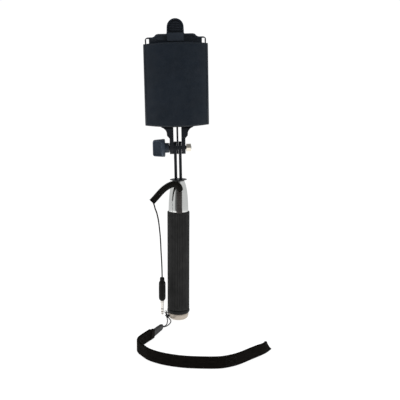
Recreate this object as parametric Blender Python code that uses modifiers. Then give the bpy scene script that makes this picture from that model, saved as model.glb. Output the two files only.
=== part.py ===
"""Telescopic selfie stick with a spring-jaw phone holder, a curly audio lead and a wrist strap.

The stick stands on its end cap: the origin is the centre of the cap's flat base, and +Z runs up
the handle. +X is to the right of the holder's back, and the phone sits on the +Y side.
Lengths are written in millimetres times MM, so the model is in metres.
"""

import math

import bmesh
import bpy
from mathutils import Matrix, Vector

MM = 0.001
GAP = 0.3 * MM
WELD = 0.01 * MM

# Handle
GRIP_RADIUS = 13.5 * MM
GRIP_RIBS = 40
GRIP_RIB_DEPTH = 0.55 * MM
GRIP_BOTTOM = 13.2 * MM
GRIP_TOP = 135.4 * MM
CAP_RADIUS = 12.6 * MM
CAP_BASE_RADIUS = 7.8 * MM
CAP_TOP = 8.2 * MM
CAP_BOWL = 5.8 * MM
EYELET_Z = 6.8 * MM
TUBE_OUTER = 11.2 * MM
TUBE_INNER = 10.4 * MM
TUBE_BOTTOM = 8.5 * MM
COLLAR_TOP = 173.2 * MM
COLLAR_MOUTH = 6.9 * MM

# Telescopic tubes, from the widest to the thinnest
FIXED_OUTER = 6.7 * MM
FIXED_INNER = 6.3 * MM
STAGE_COUNT = 5
STAGE_STEP = 0.7 * MM
STAGE_OUTER = 6.0 * MM
STAGE_WALL = 0.4 * MM
STAGE_FOOT = 26.0 * MM
STAGE_FOOT_STEP = 7.0 * MM

# Head: it sits a little off the handle's axis, by the play of the slid-in tubes
LEAN = math.radians(-1.2)
SEAT = Vector((0.0, 0.0, 169.5 * MM))
DISC_RADIUS = 10.3 * MM
DISC_BOTTOM = 174.0 * MM
DISC_TOP = 175.0 * MM
HINGE = Vector((0.0, 0.0, 213.1 * MM))
HINGE_BORE = 2.7 * MM
BOLT_RADIUS = 2.4 * MM
KNOB_BORE = 2.75 * MM
NUT_RADIUS = 5.0 * MM
PRONG_INNER = 1.2 * MM
PRONG_OUTER = 4.6 * MM
FORK_CENTRE = 1.1 * MM
FORK_SLOT = 4.7 * MM
FORK_SLOT_TOP = 238.0 * MM
FORK_HALF = 9.4 * MM
LOBE_RADIUS = 7.75 * MM
SHOULDER_HALF = 20.3 * MM
TONGUE_HALF = 16.0 * MM
TONGUE_TOP = 256.0 * MM
WING_HALF = 9.6 * MM
WING_FLARE = 0.7 * MM
WING_THICKNESS = 8.8 * MM
WING_NEAR = 18.3 * MM
WING_FAR = 29.8 * MM

# Phone holder
BACK_HALF = 38.1 * MM
BACK_WALL = 1.8 * MM
BACK_FRONT = -9.5 * MM
BACK_EDGE = -3.5 * MM
BACK_REAR = 3.0 * MM
BACK_BOTTOM = 240.4 * MM
BACK_TOP = 335.5 * MM
BACK_BOW = 2.1 * MM
COVER_FRONT = 1.2 * MM
COVER_REAR = 2.8 * MM
COVER_HALF = 36.0 * MM
LEG_OUTER = 35.9 * MM
LEG_INNER = 34.2 * MM
LEG_FRONT = -3.0 * MM
LEG_REAR = 0.9 * MM
LEG_FOOT = 285.0 * MM
BAR_TOP = 343.2 * MM
ARCH_TOP = 347.0 * MM
TAB_HALF = 9.9 * MM
TAB_TOP = 364.6 * MM
LEDGE_TOP = 261.5 * MM
JAW_HALF = 24.0 * MM
LIP_FRONT = 15.4 * MM
LIP_REAR = 17.2 * MM
FORK_SCREW_X = 9.0 * MM
FORK_SCREW_Z = 250.0 * MM
COVER_SCREW_X = 24.0 * MM
COVER_SCREW_LOW = 246.5 * MM
COVER_SCREW_HIGH = 329.5 * MM
JAW_SCREW_X = 15.0 * MM
JAW_SCREW_Z = 253.5 * MM
SPRING_X = 30.5 * MM
SPRING_Y = -1.2 * MM
SPRING_RADIUS = 1.75 * MM
SPRING_WIRE = 0.3 * MM
SPRING_LOW = 250.6 * MM
SPRING_HIGH = 284.4 * MM
SPRING_TURNS = 8

# Shutter button, on the phone's side of the grip
BUTTON_Z = 106.0 * MM

# Lead and strap
COIL_RADIUS = 4.1 * MM
TAIL_RADIUS = 0.8 * MM
PLUG_X = -19.8 * MM
PLUG_Y = -15.0 * MM
STRAP_HEIGHT = 13.0 * MM
STRAP_THICKNESS = 3.2 * MM
LOOP_CORD_RADIUS = 0.6 * MM
BOOT_X = 1.1 * MM
BOOT_RINGS = 10

# The curly part of the lead: X, Y, Z in millimetres, from the boot to the straight tail
COIL_ROUTE = [(1.5, -14.3, 162.8), (1.3, -14.7, 165.6), (0.0, -15.3, 168.5), (-2.8, -15.5, 170.7),
              (-6.5, -15.5, 171.1), (-10.2, -15.4, 169.9), (-15.0, -15.3, 167.0), (-19.6, -15.2, 163.1),
              (-23.5, -15.1, 158.8), (-27.6, -15.0, 154.0), (-31.9, -15.0, 149.4)]
# The straight tail, from the coil's end down to the plug's neck
TAIL_ROUTE = [(-30.9, -15.0, 146.9), (-30.3, -15.0, 145.2), (-28.5, -15.0, 142.0), (-26.3, -15.0, 137.2),
              (-24.1, -15.0, 127.4), (-22.6, -15.0, 115.1), (-21.6, -15.0, 102.8), (-21.1, -15.0, 90.4),
              (-20.4, -15.0, 78.0), (-20.0, -15.0, 67.0), (-19.8, -15.0, 57.1)]
# The thin cord of the strap: from the ferrule, through the eyelet and back to the ferrule
LOOP_ROUTE = [(-19.3, -39.7, 2.6), (-16.4, -34.0, 1.2), (-14.3, -26.5, 0.8), (-13.6, -18.0, 0.8),
              (-13.5, -12.5, 1.4), (-14.4, -7.0, 4.0), (-15.3, -3.0, 6.8), (-15.6, 0.0, 7.7),
              (-15.2, 2.8, 6.9), (-14.6, 3.6, 4.6), (-14.0, 2.2, 2.6), (-13.2, -1.5, 1.9),
              (-11.2, -6.5, 1.3), (-9.5, -12.0, 0.8), (-9.5, -18.0, 0.8), (-10.9, -25.0, 0.8),
              (-14.3, -33.5, 1.0), (-18.3, -39.8, 1.9)]
# The wrist strap's plan, from the ferrule to the far fold of its loop
STRAP_ROUTE = [(-32.1, -79.3), (-36.4, -88.0), (-40.6, -96.8), (-43.8, -105.5), (-44.6, -114.0),
               (-42.7, -122.3), (-38.6, -130.5), (-30.5, -143.5), (-16.0, -155.0), (1.6, -162.4),
               (18.3, -165.3), (40.8, -165.8), (54.0, -161.0), (65.0, -153.0), (77.5, -140.0),
               (93.6, -123.0), (102.5, -108.6)]


# ---------------------------------------------------------------- helpers

def clear_scene():
    for thing in list(bpy.data.objects):
        bpy.data.objects.remove(thing, do_unlink=True)


def make_collection(name):
    group = bpy.data.collections.new(name)
    bpy.context.scene.collection.children.link(group)
    return group


clear_scene()
PARTS = make_collection("selfie_stick")
CUTTERS = make_collection("cutters")
ALONG_X = Matrix(((0, 0, 1, 0), (1, 0, 0, 0), (0, 1, 0, 0), (0, 0, 0, 1)))
ALONG_Y = Matrix(((1, 0, 0, 0), (0, 0, -1, 0), (0, 1, 0, 0), (0, 0, 0, 1)))
ALONG_Z = Matrix.Identity(4)


def paint(thing, colour, roughness, metallic=0.0):
    """Give an object its own Principled material."""
    material = bpy.data.materials.new(thing.name + "_finish")
    material.use_nodes = True
    shader = material.node_tree.nodes["Principled BSDF"]
    shader.inputs["Base Color"].default_value = (*colour, 1.0)
    shader.inputs["Roughness"].default_value = roughness
    shader.inputs["Metallic"].default_value = metallic
    thing.data.materials.clear()
    thing.data.materials.append(material)


def new_part(name, mesh, place=Matrix.Identity(4), group=None):
    thing = bpy.data.objects.new(name, mesh)
    (group or PARTS).objects.link(thing)
    thing.matrix_world = place
    if group is CUTTERS:
        thing.hide_render = True
        thing.display_type = 'WIRE'
    return thing


def smooth(thing, angle=35.0):
    thing.data.shade_smooth()
    thing.data.set_sharp_from_angle(angle=math.radians(angle))


def evaluated_mesh(thing):
    """The mesh of an object with its modifiers or curve settings, its loose caps welded."""
    bpy.context.view_layer.update()
    graph = bpy.context.evaluated_depsgraph_get()
    mesh = bpy.data.meshes.new_from_object(thing.evaluated_get(graph))
    shape = bmesh.new()
    shape.from_mesh(mesh)
    bmesh.ops.remove_doubles(shape, verts=shape.verts, dist=WELD)
    shape.to_mesh(mesh)
    shape.free()
    return mesh


def freeze(thing):
    """Replace an object's curve or modifiers with the mesh that they make."""
    name = thing.name
    group = thing.users_collection[0]
    place = thing.matrix_world.copy()
    mesh = evaluated_mesh(thing)
    bpy.data.objects.remove(thing, do_unlink=True)
    return new_part(name, mesh, place, group)


def turned(name, profile, steps=48, ring=False, group=None):
    """A solid of revolution about Z. The profile of (radius, z) runs down the outer side; a
    ring's profile closes on itself, and any other begins and ends on the axis."""
    shape = bmesh.new()
    corners = [shape.verts.new((radius, 0.0, z)) for radius, z in profile]
    for first, second in zip(corners, corners[1:] + corners[:1] if ring else corners[1:]):
        shape.edges.new((first, second))
    mesh = bpy.data.meshes.new(name)
    shape.to_mesh(mesh)
    shape.free()
    thing = new_part(name, mesh, group=group)
    screw = thing.modifiers.new("turn", 'SCREW')
    screw.axis = 'Z'
    screw.steps = steps
    screw.render_steps = steps
    screw.use_merge_vertices = True
    screw.merge_threshold = 1e-6
    thing = freeze(thing)
    smooth(thing)
    return thing


def tube(name, outer, inner, low, high, steps=32):
    return turned(name, [(outer, high), (outer, low), (inner, low), (inner, high)], steps, ring=True)


def outline(name, loops, low, high, facing=ALONG_Z, group=None):
    """Flat outlines (the first is the edge, the others are holes), thickened from low to high."""
    curve = bpy.data.curves.new(name, 'CURVE')
    curve.dimensions = '2D'
    curve.fill_mode = 'BOTH'
    curve.extrude = (high - low) / 2
    for points in loops:
        spline = curve.splines.new('POLY')
        spline.points.add(len(points) - 1)
        for point, (u, v) in zip(spline.points, points):
            point.co = (u, v, 0.0, 1.0)
        spline.use_cyclic_u = True
    thing = new_part(name, curve, group=group)
    mesh = evaluated_mesh(thing)
    bpy.data.objects.remove(thing, do_unlink=True)
    mesh.transform(facing @ Matrix.Translation((0.0, 0.0, (low + high) / 2)))
    return new_part(name, mesh, group=group)


def block(name, low, high, bevel=0.0, group=None):
    """A box between two corners, with its edges rounded by the bevel."""
    bpy.ops.mesh.primitive_cube_add(size=1.0)
    thing = bpy.context.active_object
    mesh = thing.data
    bpy.data.objects.remove(thing, do_unlink=True)
    low, high = Vector(low), Vector(high)
    size = high - low
    mesh.transform(Matrix.Translation((low + high) / 2) @ Matrix.Diagonal((*size, 1.0)))
    thing = new_part(name, mesh, group=group)
    if bevel:
        thing = rounded(thing, bevel)
    return thing


def rounded(thing, width, segments=2, angle=40.0):
    bevel = thing.modifiers.new("edges", 'BEVEL')
    bevel.width = width
    bevel.segments = segments
    bevel.limit_method = 'ANGLE'
    bevel.angle_limit = math.radians(angle)
    thing = freeze(thing)
    smooth(thing)
    return thing


def rod(name, radius, start, end, sides=24, group=None):
    """A plain cylinder between two points."""
    start, end = Vector(start), Vector(end)
    shape = bmesh.new()
    bmesh.ops.create_cone(shape, cap_ends=True, segments=sides, radius1=radius, radius2=radius,
                          depth=(end - start).length)
    mesh = bpy.data.meshes.new(name)
    shape.to_mesh(mesh)
    shape.free()
    turn = (end - start).to_track_quat('Z', 'Y').to_matrix().to_4x4()
    mesh.transform(Matrix.Translation((start + end) / 2) @ turn)
    thing = new_part(name, mesh, group=group)
    smooth(thing)
    return thing


def combine(thing, others, operation):
    """Apply a Boolean of one object with others, which are cutters."""
    for other in others:
        step = thing.modifiers.new("shape", 'BOOLEAN')
        step.operation = operation
        step.solver = 'EXACT'
        step.object = other
    thing = freeze(thing)
    for other in others:
        bpy.data.objects.remove(other, do_unlink=True)
    smooth(thing)
    return thing


def cut(thing, *others):
    return combine(thing, others, 'DIFFERENCE')


def join(thing, *others):
    return combine(thing, others, 'UNION')


def keep_common(thing, other):
    return combine(thing, [other], 'INTERSECT')


def arc(centre_u, centre_v, radius, start, end, count):
    """Points of a round stretch, angles in degrees."""
    angles = [math.radians(start + (end - start) * i / (count - 1)) for i in range(count)]
    return [(centre_u + radius * math.cos(a), centre_v + radius * math.sin(a)) for a in angles]


def mirrored(points):
    """A left-right symmetric loop from its right half, which runs bottom to top."""
    return points + [(-u, v) for u, v in reversed(points)]


def smooth_route(points, spacing):
    """Evenly spaced points of a Catmull-Rom curve through the given points."""
    knots = [Vector(p) for p in points]
    knots = [2 * knots[0] - knots[1]] + knots + [2 * knots[-1] - knots[-2]]
    fine = []
    for a, b, c, d in zip(knots, knots[1:], knots[2:], knots[3:]):
        for i in range(24):
            t = i / 24
            fine.append(0.5 * (2 * b + (c - a) * t + (2 * a - 5 * b + 4 * c - d) * t * t
                               + (3 * b - a - 3 * c + d) * t ** 3))
    fine.append(knots[-2])
    lengths = [0.0]
    for first, second in zip(fine, fine[1:]):
        lengths.append(lengths[-1] + (second - first).length)
    count = max(2, round(lengths[-1] / spacing))
    route = []
    index = 0
    for step in range(count + 1):
        target = lengths[-1] * step / count
        while index < len(fine) - 2 and lengths[index + 1] < target:
            index += 1
        span = lengths[index + 1] - lengths[index]
        share = (target - lengths[index]) / span if span else 0.0
        route.append(fine[index].lerp(fine[index + 1], share))
    return route


def wire(name, route, radius, resolution=2):
    """A round wire or cord along a route of points, with filled ends."""
    curve = bpy.data.curves.new(name, 'CURVE')
    curve.dimensions = '3D'
    curve.bevel_depth = radius
    curve.bevel_resolution = resolution
    curve.use_fill_caps = True
    spline = curve.splines.new('POLY')
    spline.points.add(len(route) - 1)
    for point, place in zip(spline.points, route):
        point.co = (*place, 1.0)
    thing = freeze(new_part(name, curve))
    smooth(thing, 60.0)
    return thing


def empty(name, place, parent=None, parent_place=Vector((0.0, 0.0, 0.0)), turn=0.0):
    """A joint's guide, placed in the upright frame; turn leans it about Y."""
    guide = bpy.data.objects.new(name, None)
    PARTS.objects.link(guide)
    guide.empty_display_size = 0.01
    guide.location = Vector(place) - parent_place
    guide.rotation_euler = (0.0, turn, 0.0)
    guide.parent = parent
    guide["upright"] = [float(value) for value in place]
    return guide


def attach(guide, *things):
    """Hang objects on a guide; their shapes were made in the upright frame."""
    for thing in things:
        thing.parent = guide
        thing.matrix_parent_inverse = Matrix.Translation(-Vector(guide["upright"]))


# ---------------------------------------------------------------- handle

def end_cap():
    reach = CAP_RADIUS - CAP_BASE_RADIUS
    bowl = [(CAP_BASE_RADIUS + reach * u, CAP_BOWL * (1 + v)) for u, v in arc(0.0, 0.0, 1.0, 0, -90, 5)]
    profile = [(0.0, 14.0 * MM), (9.7 * MM, 14.0 * MM), (10.1 * MM, 13.6 * MM), (10.1 * MM, CAP_TOP),
               (CAP_RADIUS - 0.3 * MM, CAP_TOP), (CAP_RADIUS, CAP_TOP - 0.3 * MM)]
    profile += bowl + [(0.0, 0.0)]
    thing = turned("end_cap", profile, 40)
    hole = rod("eyelet_hole", 1.0 * MM, (-15.0 * MM, 0, EYELET_Z), (-10.4 * MM, 0, EYELET_Z), group=CUTTERS)
    thing = cut(thing, hole)
    paint(thing, (0.62, 0.56, 0.49), 0.28, 1.0)


def strap_eyelet():
    """A screw eye in the side of the cap: a small ring on a plain shank."""
    bpy.ops.mesh.primitive_torus_add(major_radius=1.9 * MM, minor_radius=0.5 * MM,
                                     major_segments=20, minor_segments=8)
    ring = bpy.context.active_object
    mesh = ring.data
    bpy.data.objects.remove(ring, do_unlink=True)
    stand = Matrix.Rotation(math.radians(-35), 4, 'Z') @ Matrix.Rotation(math.radians(90), 4, 'X')
    mesh.transform(Matrix.Translation((-15.7 * MM, 0, 7.7 * MM)) @ stand)
    thing = new_part("strap_eyelet", mesh)
    shank = rod("eyelet_shank", 0.7 * MM, (-14.6 * MM, -0.3 * MM, EYELET_Z), (-10.8 * MM, 0, EYELET_Z),
                12, CUTTERS)
    thing = join(thing, shank)
    paint(thing, (0.7, 0.7, 0.68), 0.25, 1.0)


def handle_tube():
    thing = tube("handle_tube", TUBE_OUTER, TUBE_INNER, TUBE_BOTTOM, 135.0 * MM, 40)
    window = block("window", (-6.4 * MM, 7.0 * MM, BUTTON_Z - 13.4 * MM),
                   (6.4 * MM, 13.0 * MM, BUTTON_Z + 13.4 * MM), group=CUTTERS)
    thing = cut(thing, window)
    paint(thing, (0.6, 0.6, 0.62), 0.35, 1.0)


def grip_section():
    """The grip's outline: rounded ribs round the outside, and a plain bore."""
    points = []
    for rib in range(GRIP_RIBS):
        start = 2 * math.pi * rib / GRIP_RIBS
        for share, drop in ((0.0, 1.0), (0.3, 0.0), (0.75, 0.0)):
            angle = start + share * 2 * math.pi / GRIP_RIBS
            radius = GRIP_RADIUS - drop * GRIP_RIB_DEPTH
            points.append((radius * math.cos(angle), radius * math.sin(angle)))
    bore = arc(0.0, 0.0, TUBE_OUTER + GAP, 0, 351, 40)
    return [points, bore]


def grip():
    thing = outline("grip_sleeve", grip_section(), GRIP_BOTTOM, GRIP_TOP)
    seat = outline("seat", [stadium(6.3 * MM, 13.3 * MM)], 8.0 * MM, 16.0 * MM, ALONG_Y, CUTTERS)
    seat.matrix_world = Matrix.Translation((0, 24.0 * MM, BUTTON_Z))
    thing = cut(thing, seat)
    paint(thing, (0.028, 0.028, 0.027), 0.72)
    rim = turned("grip_ring", [(13.3 * MM, 12.9 * MM), (13.9 * MM, 12.1 * MM), (13.9 * MM, 9.9 * MM),
                               (13.1 * MM, TUBE_BOTTOM), (11.5 * MM, TUBE_BOTTOM),
                               (11.5 * MM, 12.9 * MM)], 40, ring=True)
    paint(rim, (0.02, 0.02, 0.02), 0.6)


def stadium(half_width, half_height):
    """A slot outline with round ends, upright."""
    straight = half_height - half_width
    return arc(0, straight, half_width, 0, 180, 9) + arc(0, -straight, half_width, 180, 360, 9)


def collar():
    outer = [(7.2 * MM, COLLAR_TOP), (7.6 * MM, 171.6 * MM), (8.6 * MM, 169.0 * MM), (9.5 * MM, 165.6 * MM),
             (10.5 * MM, 160.5 * MM), (11.2 * MM, 154.0 * MM), (11.7 * MM, 147.0 * MM),
             (12.1 * MM, GRIP_TOP + GAP)]
    inner = [(10.1 * MM, GRIP_TOP + GAP), (10.1 * MM, 126.0 * MM), (9.3 * MM, 126.0 * MM),
             (9.3 * MM, 152.0 * MM), (COLLAR_MOUTH, 157.0 * MM), (COLLAR_MOUTH, COLLAR_TOP)]
    thing = turned("taper_collar", outer + inner, 40, ring=True)
    hole = rod("lead_hole", 2.95 * MM, (BOOT_X, -14.0 * MM, 141.0 * MM), (BOOT_X, -5.0 * MM, 141.0 * MM),
               group=CUTTERS)
    thing = cut(thing, hole)
    paint(thing, (0.75, 0.75, 0.74), 0.12, 1.0)


def shutter_button():
    bezel = outline("button_bezel", [stadium(6.0 * MM, 13.0 * MM), stadium(4.3 * MM, 11.0 * MM)],
                    -14.3 * MM, -11.6 * MM, ALONG_Y)
    bezel.matrix_world = Matrix.Translation((0, 0, BUTTON_Z))
    bezel = rounded(bezel, 0.3 * MM, 1)
    paint(bezel, (0.05, 0.05, 0.055), 0.4)
    cap = outline("shutter_button", [stadium(4.0 * MM, 10.7 * MM)], -15.1 * MM, -12.0 * MM, ALONG_Y)
    cap.matrix_world = Matrix.Translation((0, 0, BUTTON_Z))
    cap = rounded(cap, 0.5 * MM, 2)
    guide = empty("button_travel", (0.0, 13.0 * MM, BUTTON_Z))
    attach(guide, cap)
    paint(cap, (0.11, 0.11, 0.12), 0.5)
    switch = block("tact_switch", (-2.6 * MM, 8.3 * MM, BUTTON_Z - 2.6 * MM),
                   (2.6 * MM, 10.5 * MM, BUTTON_Z + 2.6 * MM), 0.2 * MM)
    paint(switch, (0.08, 0.08, 0.08), 0.5)
    board = block("switch_board", (-4.5 * MM, 7.2 * MM, BUTTON_Z - 11.0 * MM),
                  (4.5 * MM, 8.1 * MM, BUTTON_Z + 11.0 * MM))
    paint(board, (0.02, 0.14, 0.07), 0.4)
    route = smooth_route([(0.0, 8.2 * MM, 117.4 * MM), (2.6 * MM, 7.9 * MM, 120.5 * MM),
                          (6.6 * MM, 4.8 * MM, 125.0 * MM), (8.1 * MM, 0.5 * MM, 129.5 * MM),
                          (7.2 * MM, -4.2 * MM, 134.5 * MM), (3.6 * MM, -7.6 * MM, 139.0 * MM),
                          (BOOT_X, -9.4 * MM, 141.0 * MM)], 2.2 * MM)
    lead = wire("inner_lead", route, 0.6 * MM, 1)
    paint(lead, (0.03, 0.03, 0.03), 0.5)


def telescopic_tubes():
    fixed = turned("fixed_tube", necked_tube(FIXED_OUTER, FIXED_INNER, 15.2 * MM, 172.4 * MM), 32, ring=True)
    paint(fixed, (0.7, 0.7, 0.7), 0.2, 1.0)
    bush = tube("base_bush", 10.1 * MM, 7.0 * MM, 14.4 * MM, 21.0 * MM, 32)
    paint(bush, (0.75, 0.75, 0.72), 0.5)
    for stage in range(STAGE_COUNT):
        outer = STAGE_OUTER - stage * STAGE_STEP
        inner = outer - STAGE_WALL
        low = STAGE_FOOT + stage * STAGE_FOOT_STEP
        high = 172.6 * MM + stage * 0.2 * MM
        name = f"stage_tube_{stage + 1}"
        thing = turned(name, necked_tube(outer, inner, low, high), 28, ring=True)
        if stage == STAGE_COUNT - 1:
            hole = rod("pin_hole", 0.85 * MM, (0, -5 * MM, 168 * MM), (0, 5 * MM, 168 * MM), 16, CUTTERS)
            thing = cut(thing, hole)
        guide = empty(f"slide_{stage + 1}", (0.0, 0.0, low))
        foot = stage_foot(stage, outer, inner, low)
        attach(guide, thing, foot)
        paint(thing, (0.72, 0.72, 0.72), 0.15, 1.0)


def necked_tube(outer, inner, low, high):
    """A thin tube whose mouth is rolled in a little, to hold the next tube."""
    neck = 0.17 * MM
    return [(outer - neck, high), (outer, high - 2.6 * MM), (outer, low), (inner, low),
            (inner, high - 2.6 * MM), (inner - neck, high)]


def stage_foot(stage, outer, inner, low):
    """The friction bush on a tube's lower end, with a spigot in the tube."""
    reach = outer + 0.2 * MM
    bore = inner - 0.5 * MM
    profile = [(inner - 0.05 * MM, low + 2.0 * MM), (inner - 0.05 * MM, low - 0.1 * MM),
               (reach, low - 0.1 * MM), (reach, low - 4.0 * MM), (bore, low - 4.0 * MM),
               (bore, low + 2.0 * MM)]
    foot = turned(f"slide_bush_{stage + 1}", profile, 24, ring=True)
    paint(foot, (0.62, 0.5, 0.25), 0.35, 1.0)
    return foot


# ---------------------------------------------------------------- head and hinge

def head_fork():
    """The disc, its stem in the thinnest tube, and two long prongs up to the hinge."""
    disc = [(0.0, DISC_TOP), (DISC_RADIUS - 1.4 * MM, DISC_TOP), (DISC_RADIUS - 0.2 * MM, 174.75 * MM),
            (DISC_RADIUS, 174.5 * MM), (DISC_RADIUS - 0.2 * MM, 174.25 * MM),
            (DISC_RADIUS - 1.4 * MM, DISC_BOTTOM), (2.35 * MM, DISC_BOTTOM), (2.35 * MM, 165.2 * MM),
            (0.0, 165.2 * MM)]
    thing = turned("head_fork", disc, 36)
    side = [(5.2 * MM, DISC_TOP - 0.3 * MM), (5.2 * MM, 190.0 * MM)]
    side += arc(HINGE.y, HINGE.z, 7.5 * MM, -10, 90, 8)
    for sign in (-1, 1):
        low, high = sorted((sign * PRONG_INNER, sign * PRONG_OUTER))
        prong = outline("prong", [side + [(-u, v) for u, v in reversed(side[:-1])]], low, high, ALONG_X,
                        CUTTERS)
        thing = join(thing, prong)
    bore = rod("hinge_bore", HINGE_BORE, HINGE - Vector((0.02, 0, 0)), HINGE + Vector((0.02, 0, 0)),
               24, CUTTERS)
    pin = rod("pin_hole", 0.85 * MM, (0, -5 * MM, 168 * MM), (0, 5 * MM, 168 * MM), 16, CUTTERS)
    thing = cut(thing, bore, pin)
    paint(thing, (0.022, 0.024, 0.028), 0.45)
    roll_pin = rod("head_roll_pin", 0.7 * MM, (0, -2.95 * MM, 168 * MM), (0, 2.95 * MM, 168 * MM), 16)
    paint(roll_pin, (0.6, 0.6, 0.6), 0.3, 1.0)
    return thing, roll_pin


def holder_fork():
    """Three prongs whose shoulders flare out to the holder, with a tongue inside the shell."""
    front = [(FORK_HALF, HINGE.z - LOBE_RADIUS - 1 * MM), (FORK_HALF, 224.6 * MM), (10.0 * MM, 225.6 * MM),
             (12.3 * MM, 228.0 * MM)]
    front += [(SHOULDER_HALF - u, v) for u, v in arc(0.0, 230.2 * MM, 7.8 * MM, 0, 78, 8)]
    front += [(SHOULDER_HALF, 239.6 * MM), (SHOULDER_HALF, 243.0 * MM), (TONGUE_HALF, 243.0 * MM),
              (TONGUE_HALF, TONGUE_TOP)]
    thing = outline("holder_fork", [mirrored(front)], -7.75 * MM, 7.75 * MM, ALONG_Y)
    side = arc(0.0, HINGE.z, LOBE_RADIUS, 180, 360, 15)
    side += [(LOBE_RADIUS, 218.0 * MM), (1.0 * MM, 236.0 * MM), (0.3 * MM, 238.5 * MM),
             (-0.8 * MM, 242.6 * MM), (-0.8 * MM, TONGUE_TOP), (-4.0 * MM, TONGUE_TOP),
             (-4.0 * MM, 243.0 * MM), (-5.0 * MM, 240.5 * MM), (-5.3 * MM, 237.9 * MM),
             (-7.4 * MM, 236.6 * MM), (-LOBE_RADIUS, 232.0 * MM)]
    profile = outline("fork_side", [side], -25 * MM, 25 * MM, ALONG_X, CUTTERS)
    thing = keep_common(thing, profile)
    slots = []
    for sign in (-1, 1):
        low, high = sorted((sign * FORK_CENTRE, sign * FORK_SLOT))
        slots.append(block("slot", (low, -12 * MM, 200 * MM), (high, 12 * MM, FORK_SLOT_TOP), group=CUTTERS))
        slots.append(rod("screw_hole", 1.3 * MM, (sign * FORK_SCREW_X, -8 * MM, FORK_SCREW_Z),
                         (sign * FORK_SCREW_X, 2 * MM, FORK_SCREW_Z), 20, CUTTERS))
    bore = rod("hinge_bore", HINGE_BORE, HINGE - Vector((0.02, 0, 0)), HINGE + Vector((0.02, 0, 0)),
               24, CUTTERS)
    thing = cut(thing, *slots, bore)
    paint(thing, (0.022, 0.026, 0.034), 0.42)
    return thing


def thumb_knob():
    """A neck and a flange about Z, and a flat wing across them with a sunk panel on each face."""
    profile = [(0.0, 19.2), (9.9, 19.2), (10.8, 18.4), (10.8, 15.6), (9.4, 15.0), (6.0, 15.0), (5.9, 10.5),
               (0.0, 10.5)]
    knob = turned("thumb_knob", [(r * MM, z * MM) for r, z in profile], 36)
    corner = 2.6 * MM
    rim = [(WING_HALF + WING_FLARE, WING_NEAR)]
    rim += arc(WING_HALF - corner, WING_FAR - corner, corner, 0, 90, 5)
    rim += arc(corner - WING_HALF, WING_FAR - corner, corner, 90, 180, 5)
    rim += [(-WING_HALF - WING_FLARE, WING_NEAR)]
    half = WING_THICKNESS / 2
    wing = rounded(outline("wing", [rim], -half, half, ALONG_Y, CUTTERS), 0.5 * MM, 1)
    panels = []
    for sign in (-1, 1):
        near, far = sorted((sign * (half - 0.6 * MM), sign * (half + 2 * MM)))
        panels.append(block("panel", (-7.9 * MM, near, 20.9 * MM), (7.9 * MM, far, 28.1 * MM), group=CUTTERS))
    wing = cut(wing, *panels)
    bore = rod("bore", KNOB_BORE, (0, 0, 9 * MM), (0, 0, 27 * MM), 24, CUTTERS)
    knob = cut(join(knob, wing), bore)
    paint(knob, (0.03, 0.036, 0.05), 0.4)
    return knob


def clamp_hardware():
    """The thumb knob, its bolt and washer, and the hex nut on the far side of the fork."""
    outward = Matrix.Translation(HINGE) @ Matrix.Rotation(math.radians(-90), 4, 'Y')
    knob = thumb_knob()
    knob.data.transform(outward)
    bolt = turned("clamp_bolt", [(0.0, 26.7 * MM), (BOLT_RADIUS, 26.7 * MM), (BOLT_RADIUS, -15.8 * MM),
                                 (1.9 * MM, -16.4 * MM), (0.0, -16.4 * MM)], 24)
    bolt.data.transform(outward)
    paint(bolt, (0.04, 0.04, 0.042), 0.4, 1.0)
    washer = tube("bolt_washer", 5.6 * MM, KNOB_BORE, 9.6 * MM, 10.3 * MM, 24)
    washer.data.transform(outward)
    paint(washer, (0.04, 0.04, 0.042), 0.4, 1.0)
    hexagon = [(NUT_RADIUS * math.cos(math.radians(60 * i)), NUT_RADIUS * math.sin(math.radians(60 * i)))
               for i in range(6)]
    nut = outline("hex_nut", [hexagon, arc(0, 0, BOLT_RADIUS + 0.25 * MM, 0, 345, 24)],
                  10.4 * MM, 16.0 * MM, ALONG_X)
    nut.data.transform(Matrix.Translation(HINGE))
    chamfer = turned("chamfer", [(0.0, 16.1 * MM), (4.3 * MM, 16.1 * MM), (5.1 * MM, 15.5 * MM),
                                 (5.1 * MM, 10.9 * MM), (4.3 * MM, 10.3 * MM), (0.0, 10.3 * MM)], 24,
                     group=CUTTERS)
    chamfer.data.transform(Matrix.Translation(HINGE) @ Matrix.Rotation(math.radians(90), 4, 'Y'))
    nut = keep_common(nut, chamfer)
    paint(nut, (0.78, 0.74, 0.66), 0.15, 1.0)
    return knob, bolt, washer, nut


# ---------------------------------------------------------------- phone holder

def shell_section(inset):
    """Half of the back's section, from the middle of the front round the rolled edge."""
    sag = BACK_EDGE - BACK_FRONT
    span = 36.0 * MM
    curve_radius = (span ** 2 + sag ** 2) / (2 * sag)
    reach = math.degrees(math.asin((span - 0.6 * MM) / curve_radius))
    front = arc(0.0, BACK_FRONT + curve_radius, curve_radius - inset, -90, -90 + reach, 9)
    side = BACK_HALF - inset
    corner_start = front[-1]
    corner = [(side - 0.75 * MM, corner_start[1] + 0.55 * MM), (side - 0.15 * MM, corner_start[1] + 1.5 * MM),
              (side, corner_start[1] + 2.6 * MM)]
    return front + corner + [(side, BACK_REAR)]


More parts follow.
